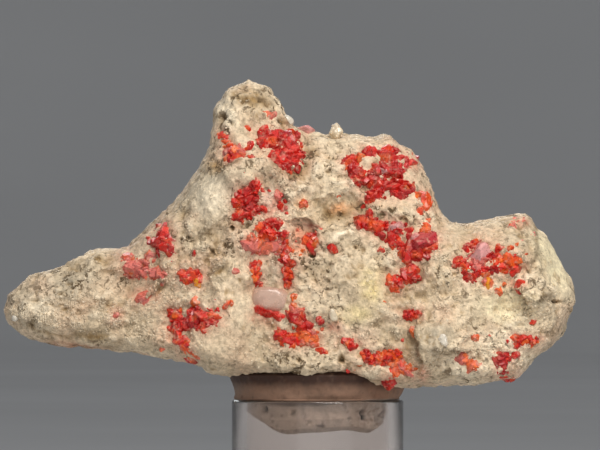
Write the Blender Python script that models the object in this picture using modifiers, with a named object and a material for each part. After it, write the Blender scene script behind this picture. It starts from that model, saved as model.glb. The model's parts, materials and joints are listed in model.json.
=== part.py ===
"""A hand-sized piece of calcite-crusted rock with red realgar crystals, held upright by putty in a clear tube.

Lengths below are millimetres and become metres when a mesh is made. The origin is the centre of the tube's
underside, +Z is up and the crusted face looks along -Y.
"""

import math

import bmesh
import bpy
import numpy as np
from mathutils import Euler, Vector
from mathutils.bvhtree import BVHTree

MM = 0.001
GAP = 0.35

# The clear tube that carries the specimen, closed at the bottom.
TUBE_OUTER_R = 12.7
TUBE_WALL = 2.0
TUBE_FLOOR = 3.0
TUBE_HEIGHT = 24.0
TUBE_EDGE = 0.35
TUBE_STEPS = 48

# The putty: a plug inside the tube's mouth and a collar on its rim.
PLUG_DEPTH = 4.4
COLLAR_RIM_R = 12.3
COLLAR_TOP_R = 13.3
COLLAR_TOP_Z = 29.5
PUTTY_STEPS = 28

# Outline of the rock, as pairs of a point on its lower edge and a point on its upper edge: x, z, x, z.
# The first and last pair are the tips, where both points meet.
EDGE_PAIRS = (
    (-46.3, 37.2, -46.3, 37.2),
    (-45.7, 35.5, -45.9, 39.5),
    (-44.2, 34.1, -44.4, 40.8),
    (-42.4, 33.2, -42.9, 42.4),
    (-40.4, 32.5, -41.4, 43.0),
    (-38.0, 31.8, -39.4, 43.2),
    (-35.2, 31.7, -37.0, 44.9),
    (-32.4, 31.5, -35.0, 45.5),
    (-29.6, 31.3, -32.4, 46.4),
    (-27.4, 31.0, -30.4, 46.4),
    (-25.6, 30.8, -28.0, 46.8),
    (-24.2, 30.5, -26.6, 48.6),
    (-22.8, 30.3, -25.0, 49.8),
    (-21.6, 30.0, -23.4, 51.4),
    (-20.4, 29.6, -21.6, 53.1),
    (-19.2, 29.4, -20.0, 54.8),
    (-18.0, 29.3, -19.2, 56.4),
    (-17.0, 28.9, -18.0, 58.1),
    (-16.2, 28.2, -16.8, 60.0),
    (-15.2, 27.8, -16.0, 61.8),
    (-14.2, 27.6, -15.7, 64.0),
    (-13.2, 27.5, -15.5, 66.4),
    (-12.2, 27.5, -14.4, 68.0),
    (-11.2, 27.4, -13.0, 69.9),
    (-9.8, 27.4, -10.2, 71.0),
    (-8.2, 27.4, -7.4, 70.2),
    (-7.0, 27.4, -6.0, 68.4),
    (-5.8, 27.3, -4.9, 66.4),
    (-4.4, 27.2, -3.6, 64.8),
    (-2.4, 26.8, -1.6, 63.5),
    (-0.2, 27.0, 0.4, 63.5),
    (3.2, 27.4, 4.2, 63.3),
    (6.6, 26.8, 8.0, 62.9),
    (9.2, 26.2, 10.6, 63.2),
    (11.0, 26.0, 12.2, 61.8),
    (12.4, 25.9, 14.0, 61.2),
    (13.6, 25.9, 15.0, 59.6),
    (14.8, 26.1, 16.0, 57.6),
    (16.0, 26.2, 16.9, 55.8),
    (17.2, 26.2, 17.6, 53.6),
    (18.4, 26.2, 18.3, 51.6),
    (19.8, 26.3, 19.6, 50.4),
    (21.6, 26.3, 22.0, 50.2),
    (23.8, 26.2, 25.4, 50.9),
    (26.2, 26.6, 28.6, 51.4),
    (28.4, 26.8, 31.2, 51.3),
    (29.6, 27.2, 32.2, 49.6),
    (31.0, 28.6, 33.9, 48.4),
    (32.4, 30.4, 35.0, 46.6),
    (34.4, 31.8, 36.2, 44.2),
    (36.3, 34.0, 37.4, 42.0),
    (37.2, 36.8, 38.1, 40.4),
    (38.0, 38.8, 38.0, 38.8),
)

# How far the faces stand off the plane of the outline: heights and half thicknesses, then the taper along x.
DEPTH_Z = (26.0, 45.0, 56.0, 64.0, 71.0)
FRONT_DEPTH = (14.2, 12.6, 10.6, 8.6, 6.4)
BACK_DEPTH = (13.0, 12.0, 10.0, 8.0, 6.0)
TAPER_X = (-46.3, -42.0, -34.0, -26.0, -16.0, 0.0, 16.0, 26.0, 33.0, 38.3)
TAPER = (0.30, 0.42, 0.55, 0.72, 0.94, 1.0, 1.0, 0.92, 0.78, 0.55)
LOWER_ROUND = 2.6
UPPER_ROUND = 5.6
ROUND_POWER = 2.4

# Broken faces on the back: y there stays under offset + slope_x * x + slope_z * (z - 45).
BREAK_PLANES = (
    (11.4, 0.10, -0.12),
    (12.6, -0.24, 0.02),
    (13.8, 0.26, 0.10),
    (10.6, -0.02, -0.30),
)

# Rounded swellings and hollows of the crusted face: x, z, half width, half height, turn in degrees, rise.
SWELLINGS = (
    (-9.6, 65.0, 3.6, 3.0, 0, -1.5),
    (-13.2, 66.6, 1.6, 3.0, 20, 0.9),
    (-15.5, 54.0, 5.0, 3.6, 40, 1.5),
    (-14.2, 34.0, 4.6, 6.0, -20, 1.8),
    (-6.8, 43.0, 2.6, 4.8, 0, -1.7),
    (-7.2, 52.6, 2.6, 3.2, 0, -0.9),
    (-2.4, 48.0, 2.4, 2.2, 0, -1.6),
    (3.4, 52.0, 3.2, 1.8, 15, -1.3),
    (3.0, 49.0, 3.6, 0.9, 28, 1.4),
    (12.4, 51.8, 3.2, 1.6, -8, 0.7),
    (5.6, 40.4, 5.2, 4.6, 0, 1.0),
    (10.2, 57.0, 3.6, 3.0, 0, -0.9),
    (17.4, 33.0, 2.6, 2.8, 0, 1.5),
    (22.0, 37.6, 5.0, 2.6, 10, 0.9),
    (24.6, 45.2, 3.4, 2.6, 0, -0.9),
    (31.6, 40.9, 2.2, 1.9, 0, 1.6),
    (34.6, 45.4, 2.0, 4.6, 25, -1.3),
    (33.0, 35.0, 3.0, 3.2, 0, 0.7),
    (-40.8, 37.6, 2.0, 1.4, 0, 0.7),
    (-33.0, 35.6, 3.0, 1.6, 0, 0.8),
    (-34.6, 43.0, 3.6, 1.4, 30, 0.6),
    (-27.6, 41.2, 4.2, 2.2, 0, -0.8),
    (-19.8, 35.4, 2.8, 2.6, 0, -1.0),
    (-0.8, 31.0, 4.6, 2.2, 0, -0.5),
    (9.4, 28.4, 3.4, 1.8, 0, -0.8),
)

# Ledges: from x, z to x, z, the rise on the left-hand side of that line, and how far behind it the rise fades.
LEDGES = (
    (-17.2, 57.6, -13.4, 58.0, -1.5, 4.0),
    (-13.4, 58.0, -11.6, 59.2, -1.7, 4.0),
    (-11.6, 59.2, -6.4, 58.8, -1.7, 4.5),
    (-6.4, 58.8, -2.6, 56.8, -1.4, 4.0),
    (-16.2, 42.0, -12.6, 44.4, -0.9, 5.0),
    (-12.4, 50.0, -9.4, 51.2, -1.2, 2.5),
    (-3.6, 50.2, 0.2, 50.4, 1.6, 3.0),
    (14.4, 35.0, 14.8, 30.2, 1.3, 4.0),
    (17.6, 31.8, 20.6, 31.0, 1.2, 2.5),
    (29.8, 39.9, 31.8, 39.0, 1.4, 3.0),
    (31.8, 39.0, 34.2, 40.4, 1.2, 3.0),
    (31.2, 51.0, 32.2, 44.4, -1.2, 5.0),
    (-24.0, 39.6, -22.4, 41.2, 0.9, 2.5),
    (-33.8, 37.6, -30.8, 37.8, -0.7, 3.0),
)

# Lumps all over the rock: size and height of each octave.
LUMPS = ((9.0, 1.5, 11), (4.2, 0.9, 12), (2.1, 0.42, 13))
ROCK_COLUMNS = 56
FRONT_ROWS = (3, 12, 3)
BACK_ROWS = (2, 4, 3)

# Red crystal groups. A limb is x, z at one end, x, z at the other, and width; crystals crowd along it.
CRYSTAL_GROUPS = {
    "realgar_summit": (
        (-7.7, 63.4, -7.5, 61.6, 2.0),
        (-6.8, 62.9, -3.4, 62.5, 1.9),
        (-5.0, 62.6, -3.7, 59.8, 3.0),
        (-5.8, 59.9, -2.7, 59.5, 1.8),
        (-4.7, 58.7, -3.8, 57.9, 1.4),
    ),
    "realgar_spire_left": ((-13.3, 60.5, -11.4, 60.9, 1.5), (-13.0, 59.7, -12.0, 60.2, 1.4)),
    "realgar_spire_ember": ((-14.5, 63.1, -13.6, 62.7, 1.1),),
    "realgar_arm_spike": ((-22.7, 49.3, -22.5, 46.2, 1.9), (-24.6, 47.5, -22.9, 47.3, 1.0)),
    "realgar_arm": (
        (-28.0, 45.2, -27.6, 44.0, 1.6),
        (-27.8, 44.2, -25.8, 43.4, 2.1),
        (-25.8, 43.0, -22.8, 42.7, 1.3),
    ),
    "realgar_arm_pebble": ((-26.2, 39.4, -24.7, 39.5, 1.8),),
    "realgar_lower_left": (
        (-21.0, 37.2, -20.4, 35.6, 1.5),
        (-20.6, 35.3, -18.0, 35.3, 1.3),
        (-18.4, 36.6, -15.0, 36.3, 2.0),
        (-17.8, 35.2, -16.2, 34.9, 1.2),
        (-20.8, 34.6, -19.4, 31.2, 1.7),
    ),
    "realgar_ember": ((-19.6, 42.3, -17.6, 42.6, 1.7), (-17.9, 42.0, -17.6, 41.4, 1.0)),
    "realgar_upper_center": (
        (-9.1, 55.9, -8.8, 54.9, 1.1),
        (-10.6, 54.6, -9.7, 52.0, 2.3),
        (-11.7, 51.0, -9.6, 51.8, 1.3),
        (-12.0, 53.3, -11.3, 52.6, 0.9),
    ),
    "realgar_center": (
        (-8.4, 49.6, -8.1, 48.0, 1.3),
        (-7.2, 50.0, -5.6, 50.3, 1.2),
        (-9.6, 46.9, -5.6, 47.0, 2.4),
        (-5.2, 48.6, -4.6, 45.6, 1.1),
        (-5.0, 45.2, -3.8, 44.2, 1.4),
        (-7.6, 49.4, -6.6, 48.0, 1.4),
    ),
    "realgar_left_leg": ((-9.2, 44.2, -8.8, 41.2, 1.0),),
    "realgar_right_leg": ((-4.5, 43.4, -4.3, 41.0, 1.0),),
    "realgar_core": ((-1.4, 48.2, -0.4, 46.9, 1.3),),
    "realgar_bar": ((-9.1, 36.7, -5.7, 35.8, 1.0),),
    "realgar_lower_center": (
        (-3.8, 37.5, -2.8, 36.6, 1.5),
        (-3.2, 36.4, -1.9, 34.4, 1.8),
        (-5.2, 33.0, -2.6, 33.1, 1.5),
        (-2.2, 33.4, -0.4, 33.2, 1.8),
        (-5.6, 34.5, -5.3, 33.6, 0.9),
    ),
    "realgar_dart": ((3.8, 32.8, 5.3, 32.4, 1.1),),
    "realgar_lower_right": (
        (6.8, 30.6, 8.2, 30.3, 1.1),
        (8.2, 30.1, 11.8, 30.8, 1.4),
        (11.2, 29.6, 13.6, 28.2, 1.3),
        (12.0, 29.0, 10.2, 27.2, 1.2),
    ),
    "realgar_foot": ((4.7, 28.9, 5.0, 27.9, 1.2),),
    "realgar_shoulder": (
        (4.0, 58.9, 5.4, 59.4, 1.2),
        (5.2, 58.8, 6.0, 56.4, 1.6),
        (6.0, 56.7, 9.0, 56.6, 1.7),
        (8.6, 58.1, 12.4, 57.8, 1.8),
        (9.8, 60.4, 11.4, 60.2, 1.7),
        (11.2, 59.6, 14.2, 58.9, 1.9),
        (9.0, 56.0, 13.4, 55.1, 2.2),
        (7.4, 53.9, 9.8, 54.8, 1.3),
    ),
    "realgar_shoulder_crest": ((7.1, 60.9, 8.2, 60.5, 1.2),),
    "realgar_shoulder_tail": ((15.4, 54.4, 15.9, 52.6, 1.5),),
    "realgar_brow": (
        (6.8, 50.6, 9.6, 49.2, 1.7),
        (10.2, 49.5, 12.6, 49.2, 1.3),
        (10.8, 48.0, 12.0, 46.8, 1.5),
        (13.6, 47.0, 16.6, 47.4, 2.4),
        (12.4, 45.4, 15.8, 46.0, 1.7),
        (15.9, 50.0, 16.0, 48.6, 1.1),
    ),
    "realgar_middle_right": ((12.9, 42.4, 14.3, 43.1, 1.9), (10.6, 41.8, 11.6, 40.2, 1.3),
                             (11.4, 41.4, 13.0, 42.2, 1.1)),
    "realgar_splinter": ((12.8, 36.6, 14.8, 37.0, 0.9),),
    "realgar_east": (
        (22.9, 43.9, 24.3, 46.5, 2.4),
        (21.9, 46.5, 23.8, 47.4, 0.8),
        (25.0, 44.9, 25.7, 45.5, 1.0),
        (23.0, 43.5, 26.2, 43.5, 1.2),
        (26.2, 44.3, 29.0, 44.2, 2.0),
        (20.6, 44.6, 22.2, 43.4, 1.1),
        (21.9, 42.2, 23.2, 42.3, 1.1),
        (24.7, 42.6, 25.1, 41.1, 1.0),
    ),
    "realgar_east_sliver": ((29.0, 41.2, 30.1, 41.5, 0.9),),
    "realgar_right_edge": ((29.0, 32.8, 30.0, 32.8, 1.1), (30.0, 32.8, 32.2, 32.8, 1.1)),
    "realgar_corner": (
        (26.9, 30.5, 27.6, 29.7, 1.2),
        (26.4, 28.5, 27.4, 28.3, 1.0),
        (27.3, 29.4, 27.9, 27.8, 1.0),
        (27.7, 27.8, 28.9, 28.1, 1.6),
    ),
}

# Pale calcite crystals: x, z, half width, half height, turn in degrees, how far they stand out.
CALCITE_CRYSTALS = {
    "calcite_lozenge": (-7.0, 39.0, 2.8, 1.6, -8, 1.5),
    "calcite_ear": (-4.1, 65.5, 0.95, 0.6, -35, 0.9),
    "calcite_tooth": (2.8, 63.6, 0.85, 1.3, 0, 0.9),
    "calcite_pearl": (-44.6, 36.2, 0.55, 0.55, 0, 0.6),
    "calcite_chip": (18.3, 33.0, 0.55, 0.85, 10, 0.7),
    "calcite_flake": (2.2, 36.7, 0.6, 1.0, 10, 0.6),
}

CRYSTAL_SIDES = 5
CRYSTAL_SPACING = 1.6
ROOT_STEP = 1.2
ROOT_LIFT = 0.55
BRIDGE_LEAST = 0.7
BRIDGE_WIDTH = 1.3
GROUP_SEED = 41

ROCK_COLOUR = (0.62, 0.52, 0.39)
REALGAR_COLOUR = (0.50, 0.035, 0.022)
CALCITE_COLOUR = (0.78, 0.66, 0.60)
PUTTY_COLOUR = (0.30, 0.24, 0.19)
CLEAR_COLOUR = (0.90, 0.92, 0.93)


def clear_scene():
    for obj in list(bpy.data.objects):
        bpy.data.objects.remove(obj)


def new_collection(name):
    made = bpy.data.collections.new(name)
    bpy.context.scene.collection.children.link(made)
    return made


def material(name, colour, roughness, transmission=0.0, ior=1.5):
    made = bpy.data.materials.new(name)
    made.use_nodes = True
    shader = made.node_tree.nodes["Principled BSDF"]
    shader.inputs["Base Color"].default_value = (*colour, 1.0)
    shader.inputs["Roughness"].default_value = roughness
    shader.inputs["Metallic"].default_value = 0.0
    shader.inputs["Transmission Weight"].default_value = transmission
    shader.inputs["IOR"].default_value = ior
    return made


def add_object(name, mesh, collection, finish=None):
    obj = bpy.data.objects.new(name, mesh)
    collection.objects.link(obj)
    if finish:
        mesh.materials.append(finish)
    return obj


# Smooth random values in space


def lattice_value(cells, seed):
    """One fixed pseudo-random number from 0 to 1 for each whole-numbered cell corner."""
    whole = cells.astype(np.int64)
    mixed = whole[..., 0] * 374761393 + whole[..., 1] * 668265263 + whole[..., 2] * 2147483647 + seed * 974634777
    mixed = (mixed ^ (mixed >> 13)) * 1274126177
    mixed = mixed ^ (mixed >> 16)
    return (mixed & 0xFFFFFF) / float(0xFFFFFF)


def smooth_noise(points, size, seed):
    """Value noise from -1 to 1: corner values blended by a fifth-power fade in each cube of the given size."""
    scaled = points / size
    base = np.floor(scaled)
    part = scaled - base
    fade = part**3 * (part * (part * 6 - 15) + 10)
    total = np.zeros(len(points))
    for corner in np.ndindex(2, 2, 2):
        pick = np.array(corner)
        weight = np.prod(np.where(pick == 1, fade, 1 - fade), axis=1)
        total += weight * lattice_value(base + pick, seed)
    return total * 2 - 1


# The rock


def outline_loop():
    pairs = np.array(EDGE_PAIRS)
    return np.vstack([pairs[:-1, 0:2], pairs[:0:-1, 2:4]])


def distance_to_outline(x, z):
    """Shortest distance from each point to the outline's straight runs."""
    start = outline_loop()
    run = np.roll(start, -1, axis=0) - start
    from_start_x = x[..., None] - start[:, 0]
    from_start_z = z[..., None] - start[:, 1]
    length2 = (run**2).sum(axis=1)
    along = np.clip((from_start_x * run[:, 0] + from_start_z * run[:, 1]) / length2, 0, 1)
    return np.hypot(from_start_x - along * run[:, 0], from_start_z - along * run[:, 1]).min(axis=-1)


def swelling_height(x, z):
    """Sum of rounded swellings: each is rise * exp(-r^4) over its turned ellipse."""
    height = np.zeros_like(x)
    for cx, cz, half_x, half_z, turn, rise in SWELLINGS:
        c, s = math.cos(math.radians(turn)), math.sin(math.radians(turn))
        u = ((x - cx) * c + (z - cz) * s) / half_x
        v = (-(x - cx) * s + (z - cz) * c) / half_z
        height += rise * np.exp(-((u * u + v * v) ** 2) / 1.6)
    return height


def ledge_height(x, z):
    """Sum of ledges: full rise just left of each line, fading behind it, and nothing on its right."""
    height = np.zeros_like(x)
    for x0, z0, x1, z1, rise, reach in LEDGES:
        length = math.hypot(x1 - x0, z1 - z0)
        ux, uz = (x1 - x0) / length, (z1 - z0) / length
        along = ((x - x0) * ux + (z - z0) * uz) / length
        left = (z - z0) * ux - (x - x0) * uz
        if rise < 0:
            left = -left
        ends = np.clip(np.minimum(along, 1 - along) * length / 1.0 + 0.9, 0, 1)
        step = 1 / (1 + np.exp(-left / 0.18))
        height += abs(rise) * step * np.exp(-np.clip(left, 0, None) / reach) * ends
    return height


def edge_rows(counts):
    """Row numbers from the lower edge to the upper one: (zone, share of the zone) for each row."""
    low, middle, high = counts
    rows = [(0, i / low) for i in range(low)]
    rows += [(1, i / middle) for i in range(middle)]
    rows += [(2, i / high) for i in range(high + 1)]
    return np.array(rows)


def row_heights(counts, height):
    """Share of the way from lower to upper edge, crowded near both so that the rounding is even."""
    rows = edge_rows(counts)
    low = np.minimum(LOWER_ROUND / height, 0.32)[:, None]
    high = np.minimum(UPPER_ROUND / height, 0.40)[:, None]
    share = rows[:, 1][None, :]
    angle = share * math.pi / 2
    at_low = low * (1 - np.cos(angle) ** 1.2)
    at_middle = low + share * (1 - low - high)
    at_high = 1 - high * (1 - np.sin(angle) ** 1.2)
    zone = rows[:, 0][None, :]
    return np.where(zone == 0, at_low, np.where(zone == 1, at_middle, at_high))


def column_pairs(columns):
    """Edge pairs spaced evenly along the longer of the two edges."""
    pairs = np.array(EDGE_PAIRS)
    step = np.diff(pairs, axis=0)
    reach = np.maximum(np.hypot(step[:, 0], step[:, 1]), np.hypot(step[:, 2], step[:, 3]))
    marks = np.concatenate([[0], np.cumsum(reach)])
    wanted = np.linspace(0, marks[-1], columns + 2)[1:-1]
    return np.stack([np.interp(wanted, marks, pairs[:, i]) for i in range(4)], axis=1)


def face_points(pairs, counts, side):
    """One face of the rock: straight lines from edge to edge, stood off by the depth times the rounding."""
    low, high = pairs[:, None, 0:2], pairs[:, None, 2:4]
    height = np.hypot(pairs[:, 2] - pairs[:, 0], pairs[:, 3] - pairs[:, 1])
    share = row_heights(counts, height)
    flat = low + share[..., None] * (high - low)
    x, z = flat[..., 0], flat[..., 1]
    radius = LOWER_ROUND + (UPPER_ROUND - LOWER_ROUND) * share
    inset = np.clip(distance_to_outline(x, z) / radius, 0, 1)
    rounding = (1 - (1 - inset) ** ROUND_POWER) ** (1 / ROUND_POWER)
    taper = np.interp(x, TAPER_X, TAPER)
    if side < 0:
        depth = np.interp(z, DEPTH_Z, FRONT_DEPTH) * taper
        relief = (swelling_height(x, z) + ledge_height(x, z)) * np.clip(inset, 0, 1)
        return np.stack([x, -(depth * rounding + relief), z], axis=-1)
    depth = np.interp(z, DEPTH_Z, BACK_DEPTH) * taper
    for offset, slope_x, slope_z in BREAK_PLANES:
        depth = np.minimum(depth, offset + slope_x * x + slope_z * (z - 45))
    return np.stack([x, np.maximum(depth, 2.5) * rounding, z], axis=-1)


def rock_grid(columns, front_rows, back_rows):
    """Closed loops of points, one for each column: up the front face and down the back one."""
    pairs = column_pairs(columns)
    front = face_points(pairs, front_rows, -1)
    back = face_points(pairs, back_rows, 1)
    return np.concatenate([front, back[:, -2:0:-1]], axis=1)


def grid_normals(grid, tips):
    """Outward unit normals from the differences between neighbours along and around the grid."""
    padded = np.concatenate([np.broadcast_to(tips[0], grid[:1].shape), grid,
                             np.broadcast_to(tips[1], grid[:1].shape)])
    along = padded[2:] - padded[:-2]
    around = np.roll(grid, -1, axis=1) - np.roll(grid, 1, axis=1)
    normal = np.cross(along, around)
    return normal / np.maximum(np.linalg.norm(normal, axis=-1, keepdims=True), 1e-9)


def rock_mesh(name, swell):
    """The rock as a closed loft between its tips, lumps added along the normals, grown by swell."""
    grid = rock_grid(ROCK_COLUMNS, FRONT_ROWS, BACK_ROWS)
    pairs = np.array(EDGE_PAIRS)
    tips = np.array([[pairs[0, 0], 0, pairs[0, 1]], [pairs[-1, 0], 0, pairs[-1, 1]]])
    normal = grid_normals(grid, tips)
    flat = grid.reshape(-1, 3)
    lumps = sum(height * smooth_noise(flat, size, seed) for size, height, seed in LUMPS)
    grid = grid + normal * (lumps.reshape(grid.shape[:2]) * 0.55 + swell)[..., None]
    tips = tips + np.array([[-swell, 0, 0], [swell, 0, 0]])
    columns, rows = grid.shape[:2]
    bm = bmesh.new()
    loops = [[bm.verts.new(Vector(p) * MM) for p in loop] for loop in grid]
    left, right = (bm.verts.new(Vector(p) * MM) for p in tips)
    for i in range(columns - 1):
        for j in range(rows):
            k = (j + 1) % rows
            bm.faces.new((loops[i][j], loops[i][k], loops[i + 1][k], loops[i + 1][j]))
    for j in range(rows):
        k = (j + 1) % rows
        bm.faces.new((left, loops[0][k], loops[0][j]))
        bm.faces.new((right, loops[-1][j], loops[-1][k]))
    bmesh.ops.triangulate(bm, faces=bm.faces[:])
    bmesh.ops.recalc_face_normals(bm, faces=bm.faces[:])
    mesh = bpy.data.meshes.new(name)
    bm.to_mesh(mesh)
    bm.free()
    return mesh


# Crystals


def surface_at(tree, x, z):
    """The point of the crusted face straight behind x, z, and its outward normal, both in metres."""
    hit, normal, _, _ = tree.ray_cast(Vector((x, -60, z)) * MM, Vector((0, 1, 0)))
    if hit is None:
        hit, normal, _, _ = tree.find_nearest(Vector((x, 0, z)) * MM)
    return hit, normal


def prism(bm, size, chisel, place, turn):
    """A crystal: a prism of the given length, width and thickness, each end cut off by a slanting plane."""
    length, width, thick = size
    bmesh.ops.create_cone(bm, cap_ends=True, segments=CRYSTAL_SIDES, radius1=0.5, radius2=0.5, depth=1.0)
    for v in bm.verts:
        v.co = Vector((v.co.x * width, v.co.y * thick, v.co.z * length)) * MM
    for end in (-1, 1):
        geometry = bm.verts[:] + bm.edges[:] + bm.faces[:]
        normal = Vector((end * chisel, -0.35, end)).normalized()
        point = Vector((0, 0, end * length * 0.36)) * MM
        cut = bmesh.ops.bisect_plane(bm, geom=geometry, plane_co=point, plane_no=normal, clear_outer=True)
        rim = [e for e in cut["geom_cut"] if isinstance(e, bmesh.types.BMEdge)]
        bmesh.ops.edgeloop_fill(bm, edges=rim)
    bmesh.ops.rotate(bm, cent=(0, 0, 0), matrix=Euler(turn).to_matrix(), verts=bm.verts[:])
    bmesh.ops.translate(bm, vec=place, verts=bm.verts[:])


def mesh_of(bm, name):
    bmesh.ops.recalc_face_normals(bm, faces=bm.faces[:])
    mesh = bpy.data.meshes.new(name)
    bm.to_mesh(mesh)
    bm.free()
    return mesh


def root_along(limb, tree):
    """A low ridge that follows the crusted face under a limb: four-sided rings from end to end."""
    x0, z0, x1, z1, width = limb
    length = math.hypot(x1 - x0, z1 - z0)
    across = Vector((-(z1 - z0), 0, x1 - x0)) / length
    steps = max(1, round(length / ROOT_STEP))
    bm = bmesh.new()
    rings = []
    for i in range(steps + 1):
        share = -0.1 + 1.2 * i / steps
        spot, normal = surface_at(tree, x0 + (x1 - x0) * share, z0 + (z1 - z0) * share)
        centre = spot + normal * ROOT_LIFT * MM
        side = across * 0.46 * width * MM
        rise = Vector((0, -1, 0)) * (0.30 * width + 0.35) * MM
        rings.append([bm.verts.new(centre + offset) for offset in (side, rise, -side, -rise)])
    for first, second in zip(rings, rings[1:]):
        for j in range(4):
            k = (j + 1) % 4
            bm.faces.new((first[j], first[k], second[k], second[j]))
    bm.faces.new(rings[0])
    bm.faces.new(rings[-1])
    return mesh_of(bm, "root")


def crystals_along(limb, tree, draw):
    """One mesh for each crystal of a limb, and one for the ridge that they stand on."""
    x0, z0, x1, z1, width = limb
    length = math.hypot(x1 - x0, z1 - z0)
    lean = math.atan2(z1 - z0, x1 - x0)
    count = max(1, round(length / (CRYSTAL_SPACING * width)))
    meshes = []
    for i in range(count):
        share = (i + 0.5) / count
        x = x0 + (x1 - x0) * share
        z = z0 + (z1 - z0) * share
        spot, normal = surface_at(tree, x, z)
        size = (max(length / count * 1.2, width * 1.3), width * draw.uniform(1.0, 1.15), width + 0.5)
        turn = (draw.uniform(-0.4, 0.4), draw.uniform(-0.35, 0.35) - lean + math.pi / 2, draw.uniform(-0.35, 0.35))
        bm = bmesh.new()
        prism(bm, size, draw.uniform(0.5, 1.0), spot + normal * (0.25 * width + 0.1) * MM, turn)
        meshes.append(mesh_of(bm, "crystal"))
    if length > 0.9 * width:
        meshes.append(root_along(limb, tree))
    return meshes


def limb_marks(limb):
    """The two ends and the middle of a limb."""
    x0, z0, x1, z1, _ = limb
    return [(x0, z0), ((x0 + x1) / 2, (z0 + z1) / 2), (x1, z1)]


def bridges(limbs):
    """Low ridges that tie each limb to the nearest of those before it."""
    found = []
    for i in range(1, len(limbs)):
        earlier = [mark for limb in limbs[:i] for mark in limb_marks(limb)]
        pairs = [(math.dist(a, b), a, b) for a in limb_marks(limbs[i]) for b in earlier]
        reach, a, b = min(pairs)
        if reach > BRIDGE_LEAST:
            found.append((*a, *b, BRIDGE_WIDTH))
    return found


def joined(name, meshes, cutter, collection, finish):
    """One solid: the union of the meshes, less the rock that they grow on."""
    body = add_object(name, meshes[0], collection, finish)
    if len(meshes) > 1:
        group = new_collection(name + "_members")
        group.hide_render = True
        for mesh in meshes[1:]:
            member = add_object(name + "_member", mesh, group)
            member.hide_render = True
            member.display_type = "WIRE"
        union = body.modifiers.new("union", "BOOLEAN")
        union.operation = "UNION"
        union.operand_type = "COLLECTION"
        union.collection = group
    cut = body.modifiers.new("cut", "BOOLEAN")
    cut.operation = "DIFFERENCE"
    cut.object = cutter
    return body


def pebble(tree, crystal, draw):
    """A blunt pale crystal: a coarse ball squashed to the given half widths, its skin nudged in and out."""
    x, z, half_x, half_z, turn, stand = crystal
    spot, normal = surface_at(tree, x, z)
    bm = bmesh.new()
    bmesh.ops.create_icosphere(bm, subdivisions=2, radius=1.0)
    for v in bm.verts:
        v.co *= 1 + draw.uniform(-0.07, 0.07)
        v.co = Vector((v.co.x * half_x, v.co.y * stand, v.co.z * half_z)) * MM
    bmesh.ops.rotate(bm, cent=(0, 0, 0), matrix=Euler((0, math.radians(-turn), 0)).to_matrix(), verts=bm.verts[:])
    bmesh.ops.translate(bm, vec=spot + normal * 0.25 * stand * MM, verts=bm.verts[:])
    return mesh_of(bm, "crystal")


def build_tube(collection):
    """The clear tube: its section turned about Z, from the inner floor over the rim to the underside."""
    inner = TUBE_OUTER_R - TUBE_WALL
    e = TUBE_EDGE
    section = (
        (0, TUBE_FLOOR),
        (inner - e, TUBE_FLOOR),
        (inner, TUBE_FLOOR + e),
        (inner, TUBE_HEIGHT - e),
        (inner + e, TUBE_HEIGHT),
        (TUBE_OUTER_R - e, TUBE_HEIGHT),
        (TUBE_OUTER_R, TUBE_HEIGHT - e),
        (TUBE_OUTER_R, e),
        (TUBE_OUTER_R - e, 0),
        (0, 0),
    )
    finish = material("clear_acrylic", CLEAR_COLOUR, 0.05, 1.0, 1.49)
    return turned("display_tube", section, TUBE_STEPS, collection, finish)


def turned(name, section, steps, collection, finish):
    mesh = bpy.data.meshes.new(name)
    points = [Vector((r, 0, z)) * MM for r, z in section]
    mesh.from_pydata(points, [(i, i + 1) for i in range(len(points) - 1)], [])
    obj = add_object(name, mesh, collection, finish)
    screw = obj.modifiers.new("turn", "SCREW")
    screw.axis = "Z"
    screw.steps = steps
    screw.render_steps = steps
    screw.use_merge_vertices = True
    screw.merge_threshold = 0.00001
    return obj


def as_mesh(obj, name):
    bpy.context.view_layer.update()
    graph = bpy.context.evaluated_depsgraph_get()
    return bpy.data.meshes.new_from_object(obj.evaluated_get(graph), depsgraph=graph)


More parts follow.
